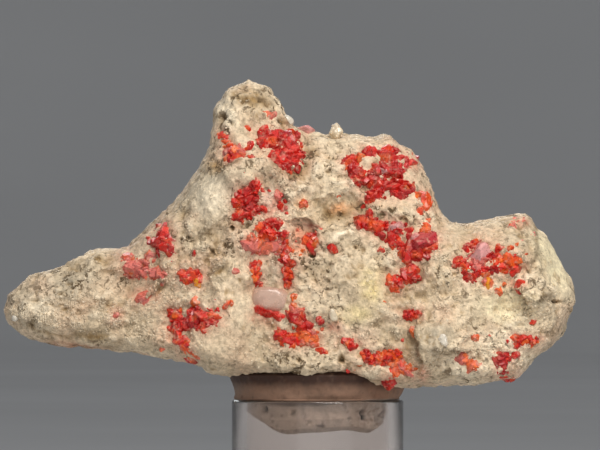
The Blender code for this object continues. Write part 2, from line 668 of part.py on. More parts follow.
def build_putty(collection, helpers, rock_cutter):
    """The putty: a turned plug and collar, its underside and flank pushed into thumbed lobes."""
    plug_r = TUBE_OUTER_R - TUBE_WALL - GAP
    rim = TUBE_HEIGHT + GAP
    bottom = TUBE_HEIGHT - PLUG_DEPTH
    section = (
        (0, COLLAR_TOP_Z),
        (6.0, COLLAR_TOP_Z),
        (COLLAR_TOP_R - 0.6, COLLAR_TOP_Z),
        (COLLAR_TOP_R, COLLAR_TOP_Z - 1.4),
        (COLLAR_TOP_R - 0.5, COLLAR_TOP_Z - 3.2),
        (COLLAR_RIM_R, rim + 0.3),
        (COLLAR_RIM_R - 0.3, rim),
        (plug_r, rim),
        (plug_r, bottom + 2.2),
        (plug_r - 0.7, bottom + 0.8),
        (plug_r - 2.4, bottom),
        (5.0, bottom + 0.3),
        (0, bottom + 0.5),
    )
    rough = turned("putty_section", section, PUTTY_STEPS, helpers, None)
    mesh = as_mesh(rough, "mounting_putty")
    bpy.data.objects.remove(rough)
    bm = bmesh.new()
    bm.from_mesh(mesh)
    bmesh.ops.recalc_face_normals(bm, faces=bm.faces[:])
    bm.to_mesh(mesh)
    bm.free()
    for v in mesh.vertices:
        angle = math.atan2(v.co.y, v.co.x)
        radius = math.hypot(v.co.x, v.co.y) / MM
        z = v.co.z / MM
        if z < rim - 1.5:
            v.co.z += (0.55 * math.sin(3 * angle + 0.7) + 0.35 * math.sin(5 * angle)) * min(radius / 8, 1) * MM
        if z > rim + 0.2 and radius > 8:
            wave = 1 + 0.016 * math.sin(4 * angle + 1.0) + 0.010 * math.sin(7 * angle)
            v.co.x *= wave
            v.co.y *= wave
    putty = add_object("mounting_putty", mesh, collection, material("putty", PUTTY_COLOUR, 0.75))
    cut = putty.modifiers.new("rock_bed", "BOOLEAN")
    cut.operation = "DIFFERENCE"
    cut.object = rock_cutter
    return putty


def main():
    clear_scene()
    parts = new_collection("calcite_on_matrix")
    helpers = new_collection("cutters")
    realgar = material("realgar", REALGAR_COLOUR, 0.22, 0.3, 2.0)
    calcite = material("calcite", CALCITE_COLOUR, 0.3, 0.2, 1.6)

    rock = add_object("matrix_rock", rock_mesh("matrix_rock", 0.0), parts, material("matrix", ROCK_COLOUR, 0.9))
    cutter = add_object("rock_cutter", rock_mesh("rock_cutter", GAP), helpers)
    cutter.hide_render = True
    cutter.display_type = "WIRE"

    graph = bpy.context.evaluated_depsgraph_get()
    tree = BVHTree.FromObject(rock, graph)

    for number, (name, limbs) in enumerate(CRYSTAL_GROUPS.items()):
        draw = np.random.RandomState(GROUP_SEED + number)
        meshes = [mesh for limb in limbs for mesh in crystals_along(limb, tree, draw)]
        meshes += [root_along(bridge, tree) for bridge in bridges(limbs)]
        joined(name, meshes, cutter, parts, realgar)

    draw = np.random.RandomState(GROUP_SEED)
    for name, crystal in CALCITE_CRYSTALS.items():
        joined(name, [pebble(tree, crystal, draw)], cutter, parts, calcite)

    build_tube(parts)
    build_putty(parts, helpers, cutter)


main()
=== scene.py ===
"""A calcite-crusted rock with red realgar crystals, standing on putty in the mouth of a short clear tube.

Sizes are in millimetres and become metres when a mesh is made. The origin is the centre of the tube's
underside, +Z is up and the crusted face looks along -Y.
"""

import json
import math

import bpy
import numpy as np
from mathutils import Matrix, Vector
from mathutils.bvhtree import BVHTree

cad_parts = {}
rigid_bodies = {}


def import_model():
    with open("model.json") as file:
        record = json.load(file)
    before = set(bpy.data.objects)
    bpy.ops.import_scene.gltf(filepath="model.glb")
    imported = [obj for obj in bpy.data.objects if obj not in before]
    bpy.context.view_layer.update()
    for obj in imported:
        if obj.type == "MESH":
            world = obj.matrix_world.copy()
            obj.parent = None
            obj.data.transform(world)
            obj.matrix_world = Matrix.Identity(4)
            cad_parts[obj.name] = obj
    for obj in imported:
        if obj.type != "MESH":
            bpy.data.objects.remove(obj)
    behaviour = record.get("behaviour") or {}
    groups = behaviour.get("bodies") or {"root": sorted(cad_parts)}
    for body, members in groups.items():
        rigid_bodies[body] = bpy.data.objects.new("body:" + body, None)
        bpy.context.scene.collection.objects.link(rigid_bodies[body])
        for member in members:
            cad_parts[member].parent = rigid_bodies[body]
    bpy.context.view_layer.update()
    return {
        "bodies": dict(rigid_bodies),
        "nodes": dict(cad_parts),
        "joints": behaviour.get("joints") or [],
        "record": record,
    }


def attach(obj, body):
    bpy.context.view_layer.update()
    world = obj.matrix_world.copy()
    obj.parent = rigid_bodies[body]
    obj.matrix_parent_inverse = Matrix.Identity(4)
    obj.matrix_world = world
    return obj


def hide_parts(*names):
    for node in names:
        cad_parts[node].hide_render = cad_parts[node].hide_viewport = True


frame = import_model()
MM = 0.001


# The clear tube. A short length of clear moulded plastic, closed flat at the bottom, with a rounded rim. It
# was moulded in one piece; the rock and its putty press down on the rim.

TUBE_RADIUS = 12.7
TUBE_WALL = 2.0
TUBE_FLOOR = 3.0
TUBE_HEIGHT = 24.0
TUBE_EDGE = 0.35
TUBE_AROUND = 128


def fillet(centre_r, centre_z, radius, start, end, steps=5):
    """Points of a circular arc in the section plane: centre + radius * (cos a, sin a), from start to end."""
    angle = np.radians(np.linspace(start, end, steps))
    return [(centre_r + radius * math.cos(a), centre_z + radius * math.sin(a)) for a in angle]


def surface(name, points, faces, smooth=True):
    """An object at the origin from points in millimetres and a list of faces."""
    mesh = bpy.data.meshes.new(name)
    mesh.from_pydata((np.asarray(points, float) * MM).tolist(), [], faces)
    mesh.polygons.foreach_set("use_smooth", [smooth] * len(mesh.polygons))
    mesh.update()
    made = bpy.data.objects.new(name, mesh)
    bpy.context.scene.collection.objects.link(made)
    return made


def settle(piece, finish, slot_name, *nodes):
    """Gives a piece its material and its body, and hides the nodes that it stands for, if any; the slot name
    is not used.
    """
    piece.data.materials.append(finish)
    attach(piece, "root")
    if nodes:
        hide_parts(*nodes)


def ring_faces(rings, around):
    """Quads between neighbouring rings of a closed tube-like grid, ring by ring."""
    i, j = np.meshgrid(np.arange(rings - 1), np.arange(around), indexing="ij")
    k = (j + 1) % around
    near, far = i * around, (i + 1) * around
    return np.stack([near + j, near + k, far + k, far + j], -1).reshape(-1, 4)


def closed_faces(rings, around):
    """The quads between rings, and at either end a fan round a point that is numbered after the grid."""
    j = np.arange(around)
    k = (j + 1) % around
    end = (rings - 1) * around
    first = np.full(around, rings * around)
    fans = [np.stack([first, k, j], -1), np.stack([first + 1, end + j, end + k], -1)]
    return ring_faces(rings, around).tolist() + np.vstack(fans).tolist()


def lathe(name, profile, around):
    """A closed turned surface: point (r, z) becomes r * (cos a, sin a), z; both ends are on the axis."""
    section = np.array(profile[1:-1])
    angle = np.linspace(0, 2 * math.pi, around, endpoint=False)
    x = section[:, :1] * np.cos(angle)
    y = section[:, :1] * np.sin(angle)
    z = np.broadcast_to(section[:, 1:], x.shape)
    ends = [[0, 0, profile[0][1]], [0, 0, profile[-1][1]]]
    points = np.vstack([np.stack([x, y, z], -1).reshape(-1, 3), ends])
    return surface(name, points, closed_faces(len(section), around))


def new_finish(name):
    """A material, its node tree and its Principled shader."""
    made = bpy.data.materials.new(name)
    made.use_nodes = True
    tree = made.node_tree
    return made, tree, tree.nodes["Principled BSDF"]


def feed(tree, made, **inputs):
    """Sets a node's inputs, or links them where the value is another node's output; _ stands for a space."""
    for key, value in inputs.items():
        socket = made.inputs[key.replace("_", " ")]
        if isinstance(value, bpy.types.NodeSocket):
            tree.links.new(value, socket)
        else:
            socket.default_value = value


def node(tree, kind, **settings):
    """Adds a node and sets its properties, or its inputs where the name is one of theirs."""
    made = tree.nodes.new(kind)
    for key, value in settings.items():
        if hasattr(made, key):
            setattr(made, key, value)
        else:
            feed(tree, made, **{key: value})
    return made


def solid_noise(tree, **settings):
    """The value of a noise that fills the piece's own space."""
    place = node(tree, "ShaderNodeTexCoord")
    return node(tree, "ShaderNodeTexNoise", Vector=place.outputs["Object"], **settings).outputs["Fac"]


def ranged(tree, value, given, wanted):
    """A value carried from one range, low and high, to another."""
    made = node(tree, "ShaderNodeMapRange", Value=value, From_Min=given[0], From_Max=given[1],
                To_Min=wanted[0], To_Max=wanted[1])
    return made.outputs["Result"]


def clear_plastic():
    """Clear moulded plastic: plain transmission, with a faint rub that varies over the surface."""
    made, tree, shader = new_finish("clear_plastic")
    rub = solid_noise(tree, Scale=220.0, Detail=4.0)
    feed(tree, shader, Base_Color=(0.80, 0.74, 0.71, 1), Transmission_Weight=1.0, IOR=1.47,
         Roughness=ranged(tree, rub, (0, 1), (0.06, 0.20)))
    return made


inner = TUBE_RADIUS - TUBE_WALL
edge = TUBE_EDGE
tube_profile = [(0, 0)]
tube_profile += fillet(TUBE_RADIUS - edge, edge, edge, -90, 0)
tube_profile += fillet(TUBE_RADIUS - edge, TUBE_HEIGHT - edge, edge, 0, 90)
tube_profile += fillet(inner + edge, TUBE_HEIGHT - edge, edge, 90, 180)
tube_profile += fillet(inner - edge, TUBE_FLOOR + edge, edge, 0, -90)
tube_profile += [(0, TUBE_FLOOR)]
tube = lathe("clear_tube", tube_profile, TUBE_AROUND)
settle(tube, clear_plastic(), "clear_acrylic", "display_tube")


# The putty. One lump of brown-grey mounting putty, pressed into the tube's mouth as a plug and bulging out
# over the rim as a collar that beds the rock. It is thumbed, pitted and crumbly on the right.

PLUG_GAP = 0.12
PUTTY_AROUND = 300
PUTTY_STEPS = 90

# Height of the plug's lower edge round the tube: angle in degrees, 90 at the back, and height.
PLUG_LOW = (
    (-180, 21.9), (-166, 21.6), (-141, 20.4), (-128, 19.2), (-115, 18.9), (-101, 19.2), (-85, 19.3),
    (-62, 19.6), (-49, 19.1), (-35, 19.0), (-19, 20.3), (0, 21.6), (40, 19.6), (75, 20.4), (110, 19.4),
    (150, 20.6), (180, 21.9),
)

# Pits of the putty's front: x, z, half width, depth.
PUTTY_PITS = (
    (-7.4, 22.7, 0.42, 0.9), (-3.6, 22.1, 0.34, 0.6), (-1.3, 20.8, 0.28, 0.5), (6.2, 22.2, 0.36, 1.0),
    (6.5, 21.4, 0.34, 1.0), (9.3, 23.5, 0.26, 0.5), (-0.2, 19.9, 0.4, 0.4), (4.4, 21.3, 0.2, 0.4),
)


def lattice_value(cells, seed):
    """One fixed number from 0 to 1 for each whole-numbered cell corner, from products of large factors."""
    whole = cells.astype(np.int64)
    hashed = whole[..., 0] * 374761393 + whole[..., 1] * 668265263 + whole[..., 2] * 2147483647
    hashed = hashed + seed * 974634777
    hashed = (hashed ^ (hashed >> 13)) * 1274126177
    hashed = hashed ^ (hashed >> 16)
    return (hashed & 0xFFFFFF) / float(0xFFFFFF)


def smooth_noise(points, size, seed):
    """Value noise from -1 to 1: corner values blended by a fifth-power fade in cubes of the given size."""
    scaled = points / size
    base = np.floor(scaled)
    part = scaled - base
    fade = part**3 * (part * (part * 6 - 15) + 10)
    total = np.zeros(len(points))
    for corner in np.ndindex(2, 2, 2):
        pick = np.array(corner)
        weight = np.prod(np.where(pick == 1, fade, 1 - fade), axis=1)
        total += weight * lattice_value(base + pick, seed)
    return total * 2 - 1


def turned(x, z, cx, cz, turn):
    """Offsets from cx, cz in axes turned by so many degrees: x cos a + z sin a, and z cos a - x sin a."""
    c, s = math.cos(math.radians(turn)), math.sin(math.radians(turn))
    return (x - cx) * c + (z - cz) * s, (z - cz) * c - (x - cx) * s


def bump(x, z, cx, cz, half_x, half_z, turn=0.0, power=1.0):
    """exp(-r^2) over a turned ellipse; a higher power gives it a flatter top and steeper flank."""
    u, v = turned(x, z, cx, cz, turn)
    return np.exp(-(((u / half_x) ** 2 + (v / half_z) ** 2) ** power))


def putty_grid(around, steps):
    """Points over angle and path: the plug's wavy lower edge, its flank, the tube's rim and the collar."""
    angle = np.linspace(-math.pi, math.pi, around, endpoint=False)[None, :]
    edge_angle, edge_height = zip(*PLUG_LOW)
    low = sum(np.interp(np.degrees(angle) + shift, edge_angle, edge_height, period=360)
              for shift in (-6, -3, 0, 3, 6)) / 5
    share = np.linspace(0, 1, steps)[:, None]
    plug_r = TUBE_RADIUS - TUBE_WALL - PLUG_GAP
    rim = TUBE_HEIGHT + 0.1
    wave = 0.30 * np.sin(3 * angle + 0.6) + 0.22 * np.sin(5 * angle + 2.0)
    bulge = 12.5 + 0.1 * np.cos(angle) + wave * 0.4
    path = np.array([0.0, 0.16, 0.27, 0.33, 0.45, 0.58, 0.62, 0.70, 0.80, 0.90, 1.0])
    radii = [0.01, 6.5, 9.3, plug_r - 0.35, plug_r, plug_r, TUBE_RADIUS - 0.55,
             bulge - 0.15, bulge + 0.1, bulge + 0.45 - 0.3 * np.cos(angle), bulge - 0.8]
    heights = [low + 0.5, low + 0.25, low, low + 0.7, low * 0.5 + rim * 0.5 - 0.4, rim, rim,
               rim + 0.7, 26.0, 27.8, 28.6]
    upper = np.clip(np.searchsorted(path, share, side="right"), 1, len(path) - 1)
    blend = (share - path[upper - 1]) / (path[upper] - path[upper - 1])
    blend = blend * blend * (3 - 2 * blend) * 0.5 + blend * 0.5
    r_table, z_table = (np.vstack([np.broadcast_to(value, low.shape) for value in values])
                        for values in (radii, heights))
    pick = upper[:, 0]
    radius = r_table[pick - 1] * (1 - blend) + r_table[pick] * blend
    height = z_table[pick - 1] * (1 - blend) + z_table[pick] * blend
    return np.stack([radius * np.cos(angle), radius * np.sin(angle), height], -1)


def putty_relief(points):
    """Inward push of the skin: soft lumps, fine grain, the pits, and a crumbled patch low on the right."""
    x, z = points[:, 0], points[:, 2]
    front = points[:, 1] < 0
    depth = 0.10 * smooth_noise(points, 2.6, 31) + 0.06 * smooth_noise(points, 0.9, 32)
    depth += 0.16 * smooth_noise(points * np.array([0.4, 0.4, 1.2]), 1.6, 34)
    depth += np.where(z > 24.2, 0.30 * smooth_noise(points * np.array([0.5, 0.5, 0.8]), 2.4, 38), 0)
    for cx, cz, size, hole in PUTTY_PITS:
        depth += np.where(front, hole * bump(x, z, cx, cz, size, size * 1.15, 0, 2.0), 0)
    crumb = np.where(front, bump(x, z, 8.4, 21.8, 2.2, 1.9, 20, 2.0), 0)
    depth += crumb * (0.30 + 0.28 * smooth_noise(points, 0.55, 33))
    return depth


def pushed_in(points, depth):
    """Moves points towards the axis by depth, without moving them up or down."""
    radius = np.maximum(np.hypot(points[:, 0], points[:, 1]), 1e-6)
    factor = 1 - np.clip(depth, -0.5, 2.0) * np.clip(radius / 8, 0, 1) / radius
    return np.column_stack([points[:, 0] * factor, points[:, 1] * factor, points[:, 2]])


def set_tint(piece, colours):
    """Stores one colour per vertex, given as linear red, green and blue from 0 to 1."""
    layer = piece.data.color_attributes.new("tint", "FLOAT_COLOR", "POINT")
    filled = np.ones((len(piece.data.vertices), 4), np.float32)
    filled[:, :3] = colours
    layer.data.foreach_set("color", filled.ravel())


def mixed(first, second, share):
    """Linear blend of two colours by a share from 0 to 1 for each point."""
    return first + (np.asarray(second, float) - first) * np.clip(share, 0, 1)[:, None]


def layered(colour, layers):
    """A colour with layers blended over it in turn, each a colour and its share at every point."""
    for shade, share in layers:
        colour = mixed(colour, shade, share)
    return colour


def linear(red, green, blue):
    """Linear values of a colour given as it looks, 0 to 255."""
    value = np.array([red, green, blue]) / 255.0
    return np.where(value <= 0.04045, value / 12.92, ((value + 0.055) / 1.055) ** 2.4)


def scaled_tint(tree, factor):
    """The piece's stored tint times a value."""
    tint = node(tree, "ShaderNodeAttribute", attribute_name="tint")
    scaled = node(tree, "ShaderNodeVectorMath", operation="SCALE", Vector=tint.outputs["Color"], Scale=factor)
    return scaled.outputs["Vector"]


def tinted_finish(name, grain, shade, gloss, index, through=0.0, relief=0.0):
    """A piece's stored tint times fine noise, the same noise in its gloss and, if asked, in its bump.

    grain is the noise's size in mm; shade and gloss are the ranges of the tint's factor and of the roughness.
    """
    made, tree, shader = new_finish(name)
    noise = solid_noise(tree, Scale=1000.0 / grain, Detail=4.0, Roughness=0.62)
    feed(tree, shader, Base_Color=scaled_tint(tree, ranged(tree, noise, (0.25, 0.75), shade)),
         Roughness=ranged(tree, noise, (0.3, 0.7), gloss), IOR=index, Transmission_Weight=through)
    if relief:
        grit = node(tree, "ShaderNodeBump", Strength=0.5, Distance=relief * MM, Height=noise)
        feed(tree, shader, Normal=grit.outputs["Normal"])
    return made


putty_points = putty_grid(PUTTY_AROUND, PUTTY_STEPS).reshape(-1, 3)
putty_depth = putty_relief(putty_points)
putty_points = pushed_in(putty_points, putty_depth)
putty_faces = ring_faces(PUTTY_STEPS, PUTTY_AROUND).tolist()
putty_faces.append(list(range(PUTTY_AROUND))[::-1])
putty_faces.append(list(range((PUTTY_STEPS - 1) * PUTTY_AROUND, PUTTY_STEPS * PUTTY_AROUND)))
putty = surface("putty_lump", putty_points, putty_faces)
putty_x, putty_z = putty_points[:, 0], putty_points[:, 2]
seam = TUBE_HEIGHT - 0.55 * bump(putty_x, 0, -3.5, 0, 7.5, 1) + 0.15 * smooth_noise(putty_points, 2.0, 37)
above = putty_z - seam
putty_fleck = smooth_noise(putty_points, 0.7, 35) + 0.7 * smooth_noise(putty_points, 0.35, 36)
crumbled = bump(putty_x, putty_z, 8.4, 21.8, 2.4, 2.0, 20, 2.0) * (putty_points[:, 1] < 0)
set_tint(putty, layered(linear(220, 202, 185), (
    (linear(250, 236, 220), crumbled * (0.3 + putty_fleck)),
    # On the crumbled patch: pale crumbs, and between them brown flecks of painted shade.
    (linear(120, 88, 68), crumbled * (0.1 - 1.2 * putty_fleck)),
    (linear(138, 106, 86), above / 0.3),
    # Painted shade: a grey-brown patch on the collar's left side, at x -13, z 26.
    (linear(126, 112, 100), bump(putty_x, putty_z, -13, 26, 2.2, 2.0) * 0.8),
    # Painted shade: the collar darkens towards its top, under the rock's overhang.
    (linear(60, 36, 24), (putty_z - 25.5 - 0.15 * putty_fleck) / 1.4),
    # Painted shadow: a dark line along the collar's lower edge, at the seam over the rim.
    (linear(70, 48, 38), 0.8 * np.exp(-((above / 0.2) ** 2))),
    (linear(96, 72, 58), 0.8 * np.clip(putty_fleck - 0.45, 0, 1)),
    (linear(50, 46, 36), np.clip((putty_depth - 0.2) / 0.7, 0, 1) ** 1.5))))
pressed = tinted_finish("putty", 1.1, (0.80, 1.16), (0.62, 0.84), 1.45, relief=0.2)
settle(putty, pressed, "putty", "mounting_putty")


# The rock. An irregular slab of brown-grey host rock whose face carries a thick, granular crust of cream
# calcite with ledges, pits and stains. It broke off in one piece; its back and underside are bare host rock.

# Outline, as pairs of a point on the lower edge and a point on the upper edge: x, z, x, z.
EDGE_PAIRS = (
    (-46.3, 37.2, -46.3, 37.2), (-45.7, 35.5, -45.9, 39.5), (-44.2, 34.1, -44.4, 40.8),
    (-42.4, 33.2, -42.9, 42.4), (-40.4, 32.5, -41.4, 43.0), (-38.0, 31.8, -39.4, 43.2),
    (-35.2, 31.7, -37.0, 44.9), (-32.4, 31.5, -35.0, 45.5), (-29.6, 31.3, -32.4, 46.4),
    (-27.4, 31.0, -30.4, 46.4), (-25.6, 30.8, -28.0, 46.8), (-24.2, 30.5, -26.6, 48.6),
    (-22.8, 30.3, -25.0, 49.8), (-21.6, 30.0, -23.4, 51.4), (-20.4, 29.6, -21.6, 53.1),
    (-19.2, 29.4, -20.0, 54.8), (-18.0, 29.3, -19.2, 56.4), (-17.0, 28.9, -18.0, 58.1),
    (-16.2, 28.2, -16.8, 60.0), (-15.2, 27.8, -16.0, 61.8), (-14.2, 27.6, -15.7, 64.0),
    (-13.2, 27.5, -15.5, 66.4), (-12.2, 27.5, -14.4, 68.0), (-11.2, 27.4, -13.0, 69.9),
    (-9.8, 27.4, -10.2, 71.0), (-8.2, 27.4, -7.4, 70.2), (-7.0, 27.4, -6.0, 68.4),
    (-5.8, 27.3, -4.9, 66.4), (-4.4, 27.2, -3.6, 64.8), (-2.4, 26.8, -1.6, 63.5), (-0.2, 27.0, 0.4, 63.5),
    (3.2, 27.4, 4.2, 63.3), (6.6, 26.8, 8.0, 62.9), (9.2, 26.2, 10.6, 63.2), (11.0, 26.0, 12.2, 61.8),
    (12.4, 25.9, 14.0, 61.2), (13.6, 25.9, 15.0, 59.6), (14.8, 26.1, 16.0, 57.6),
    (16.0, 26.2, 16.9, 55.8), (17.2, 26.2, 17.6, 53.6), (18.4, 26.2, 18.3, 51.6),
    (19.8, 26.3, 19.6, 50.4), (21.6, 26.3, 22.0, 50.2), (23.8, 26.2, 25.4, 50.9),
    (26.2, 26.6, 28.6, 51.4), (28.4, 26.8, 31.2, 51.3), (29.6, 27.2, 32.2, 49.6),
    (31.0, 28.6, 33.9, 48.4), (32.4, 30.4, 35.0, 46.6), (34.4, 31.8, 36.2, 44.2),
    (36.3, 34.0, 37.4, 42.0), (37.2, 36.8, 38.1, 40.4), (38.0, 38.8, 38.0, 38.8),
)

# How far the middle of the face and of the back stand off, by height, and how that tapers to the tips, by x.
DEPTH_Z = (26.0, 45.0, 56.0, 64.0, 71.0)
FRONT_DEPTH = (14.2, 12.6, 10.6, 8.6, 6.4)
BACK_DEPTH = (13.0, 12.0, 10.0, 8.0, 6.0)
TAPER_X = (-46.3, -42.0, -34.0, -26.0, -16.0, 0.0, 16.0, 26.0, 33.0, 38.3)
TAPER = (0.30, 0.42, 0.55, 0.72, 0.94, 1.0, 1.0, 0.92, 0.78, 0.55)

# The back stands off by this at least, before its rounding.
LEAST_BACK = 2.5

# How far in from the edge the rounding reaches, below and above, and the power of its curve.
LOWER_ROUND = 2.6
UPPER_ROUND = 5.6
ROUND_POWER = 2.4

# Flat breaks of the back: how far each stands off at x 0 and z 45, and its slopes along x and z.
BREAK_PLANES = (
    (11.4, 0.10, -0.12), (12.6, -0.24, 0.02), (13.8, 0.26, 0.10), (10.6, -0.02, -0.30),
)

# Rounded swellings and hollows of the face: x, z, half width, half height, turn in degrees, rise.
SWELLINGS = (
    (-9.6, 65.0, 3.6, 3.0, 0, -1.5), (-13.2, 66.6, 1.6, 3.0, 20, 0.9), (-15.5, 54.0, 5.0, 3.6, 40, 1.5),
    (-14.2, 34.0, 4.6, 6.0, -20, 1.8), (-6.8, 43.0, 2.6, 4.8, 0, -1.7), (-7.2, 52.6, 2.6, 3.2, 0, -0.9),
    (-2.4, 48.0, 2.4, 2.2, 0, -0.7), (3.4, 52.0, 3.2, 1.8, 15, -1.3), (3.0, 49.0, 3.6, 1.1, 28, 0.9),
    (12.4, 51.8, 3.2, 1.6, -8, 0.7), (5.6, 40.4, 5.2, 4.6, 0, 1.0), (10.2, 57.0, 3.6, 3.0, 0, -0.9),
    (17.4, 33.0, 2.6, 2.8, 0, 1.5), (22.0, 37.6, 5.0, 2.6, 10, 0.9), (24.6, 45.2, 3.4, 2.6, 0, -0.9),
    (31.6, 40.9, 2.2, 1.9, 0, 1.6), (34.6, 45.4, 2.0, 4.6, 25, -1.3), (33.0, 35.0, 3.0, 3.2, 0, 0.7),
    (-40.8, 37.6, 2.0, 1.4, 0, 0.7), (-33.0, 35.6, 3.0, 1.6, 0, 0.8), (-34.6, 43.0, 3.6, 1.4, 30, 0.6),
    (-27.6, 41.2, 4.2, 2.2, 0, -0.8), (-19.8, 35.4, 2.8, 2.6, 0, -1.0), (-0.8, 31.0, 4.6, 2.2, 0, -0.5),
    (9.4, 28.4, 3.4, 1.8, 0, -0.8),
)

# Ledges: from x, z to x, z, the rise on the line's left, or on its right where the number is negative, and how
# far behind the line it fades.
LEDGES = (
    (-17.2, 57.6, -13.4, 58.0, -1.5, 4.0), (-13.4, 58.0, -11.6, 59.2, -1.7, 4.0),
    (-11.6, 59.2, -6.4, 58.8, -1.7, 4.5), (-6.4, 58.8, -2.6, 56.8, -1.4, 4.0),
    (-16.2, 42.0, -12.6, 44.4, -0.9, 5.0), (-12.4, 50.0, -9.4, 51.2, -1.2, 2.5),
    (-2.8, 50.2, -0.4, 50.4, 0.8, 2.2), (14.4, 35.0, 14.8, 30.2, 1.3, 4.0),
    (17.6, 31.8, 20.6, 31.0, 1.2, 2.5), (29.8, 39.9, 31.8, 39.0, 1.4, 3.0),
    (31.8, 39.0, 34.2, 40.4, 1.2, 3.0), (31.2, 51.0, 32.2, 44.4, -1.2, 5.0),
    (-24.0, 39.6, -22.4, 41.2, 0.9, 2.5), (-33.8, 37.6, -30.8, 37.8, -0.7, 3.0),
)

# Broad lumps of the whole rock: size, height, seed of the noise.
LUMPS = ((9.0, 1.5, 11), (4.2, 0.9, 12), (2.1, 0.42, 13))
LUMP_SHARE = 0.55

# Single holes in the crust: x, z, half width, half height, depth.
HOLES = (
    (-0.8, 45.6, 0.45, 0.42, 1.6), (-10.0, 51.1, 0.35, 0.35, 0.9), (-12.6, 49.4, 0.28, 0.5, 1.0),
    (-36.2, 40.6, 0.30, 0.25, 0.7), (-37.0, 41.4, 0.28, 0.22, 0.6), (-28.5, 43.3, 0.25, 0.25, 0.6),
    (-25.8, 42.6, 0.30, 0.22, 0.6), (-14.3, 65.8, 0.40, 0.45, 0.9), (-13.2, 65.2, 0.35, 0.25, 0.7),
    (-12.5, 67.0, 0.35, 0.25, 0.6), (-8.5, 68.4, 0.35, 0.25, 0.6), (-7.2, 67.8, 0.40, 0.25, 0.7),
    (-5.2, 65.3, 0.60, 0.25, 0.8), (3.4, 30.2, 0.40, 0.80, 1.2), (31.0, 43.2, 0.70, 0.25, 0.9),
    (35.4, 38.6, 0.60, 0.25, 0.8), (-3.5, 59.9, 0.30, 0.30, 0.6), (14.9, 29.9, 0.25, 0.35, 0.7),
)

# Where the crust is pocked all over: x, z, half width, half height, turn.
POCKED = (
    (1.2, 58.4, 3.6, 2.4, 0), (4.6, 50.8, 4.0, 1.6, 10), (-10.0, 68.0, 4.5, 2.0, -10),
    (-2.8, 57.6, 2.2, 1.4, 0), (0.5, 42.0, 2.4, 3.4, 0), (-37.0, 41.0, 3.4, 1.6, 25),
    (5.2, 46.6, 2.6, 1.6, 0), (12.0, 52.0, 4.0, 1.2, 0), (-1.5, 29.6, 5.0, 2.2, 0),
    (-14.0, 46.5, 3.0, 2.0, 20), (19.6, 42.4, 2.8, 1.6, 0), (-20.0, 47.0, 2.0, 2.0, 0),
    (-10.2, 68.2, 3.4, 1.8, -12), (-13.4, 65.0, 1.2, 2.2, 20), (-1.2, 60.6, 1.5, 1.7, 10),
    (-3.4, 57.5, 2.0, 1.1, -15), (-14.9, 58.4, 1.6, 1.0, 0),
)

# Where the crust is smooth and swollen: x, z, half width, half height, turn.
SMOOTH = (
    (-25.6, 39.3, 2.2, 1.9, 0), (-15.2, 54.4, 4.6, 4.0, 40), (-13.6, 34.6, 4.4, 6.0, -20),
    (35.2, 44.4, 2.4, 5.0, 25), (17.2, 33.8, 2.4, 2.4, 0), (22.5, 37.0, 5.5, 2.2, 10),
    (6.0, 38.6, 2.6, 2.2, 0), (-41.0, 37.5, 1.7, 1.1, -10), (-33.0, 35.2, 2.2, 1.2, 0),
    (3.4, 48.8, 2.2, 0.7, 28), (9.0, 59.3, 1.2, 0.6, 20), (13.9, 56.9, 1.0, 1.0, 0),
    (30.6, 42.4, 1.3, 0.5, 35),
)


def outline_loop():
    """The outline as one loop of points: along the lower edge and back along the upper edge."""
    pairs = np.array(EDGE_PAIRS)
    return np.vstack([pairs[:-1, 0:2], pairs[:0:-1, 2:4]])


def line_distance(x, z, x0, z0, x1, z1):
    """Shortest distance from each point to one straight run."""
    run_x, run_z = x1 - x0, z1 - z0
    along = np.clip(((x - x0) * run_x + (z - z0) * run_z) / (run_x * run_x + run_z * run_z), 0, 1)
    return np.hypot(x - x0 - along * run_x, z - z0 - along * run_z)


def distance_to_outline(x, z):
    """Shortest distance from each point to the outline's straight runs."""
    loop = outline_loop()
    shortest = np.full(x.shape, 1e9)
    for start, finish in zip(loop, np.roll(loop, -1, axis=0)):
        shortest = np.minimum(shortest, line_distance(x, z, *start, *finish))
    return shortest


def swelling_height(x, z):
    """Sum of rounded swellings: each is rise * exp(-r^4 / 1.6) over its turned ellipse."""
    height = np.zeros_like(x)
    for cx, cz, half_x, half_z, turn, rise in SWELLINGS:
        u, v = turned(x, z, cx, cz, turn)
        height += rise * np.exp(-(((u / half_x) ** 2 + (v / half_z) ** 2) ** 2) / 1.6)
    return height


def ledge_height(x, z):
    """Sum of ledges: full rise just beside each line, fading behind it and past its ends, none before it."""
    height = np.zeros_like(x)
    for x0, z0, x1, z1, rise, reach in LEDGES:
        length = math.hypot(x1 - x0, z1 - z0)
        ux, uz = (x1 - x0) / length, (z1 - z0) / length
        along = ((x - x0) * ux + (z - z0) * uz) / length
        left = (z - z0) * ux - (x - x0) * uz
        if rise < 0:
            left = -left
        beyond = np.clip(np.abs(along - 0.5) - 0.5, 0, None) * length
        ends = np.exp(-((beyond / 0.9) ** 2))
        step = 1 / (1 + np.exp(-np.clip(left / 0.10, -60, 60)))
        height += abs(rise) * step * np.exp(-np.clip(left, 0, None) / reach) * ends
    return height


def wandered(x, z):
    """The plane shifted by noise at two sizes, so that a straight line drawn on it comes out ragged."""
    place = np.stack([x, 0 * x, z], -1).reshape(-1, 3)
    shift_x, shift_z = (0.75 * smooth_noise(place, 2.6, seed) + 0.30 * smooth_noise(place, 0.9, seed + 1)
                        for seed in (81, 83))
    return x + shift_x.reshape(x.shape), z + shift_z.reshape(x.shape)


def patches(x, z, table, power=1.5):
    """The strongest of a table of elliptical patches at each point, from 0 to 1."""
    strongest = np.zeros_like(x)
    for cx, cz, half_x, half_z, turn in table:
        strongest = np.maximum(strongest, bump(x, z, cx, cz, half_x, half_z, turn, power))
    return strongest


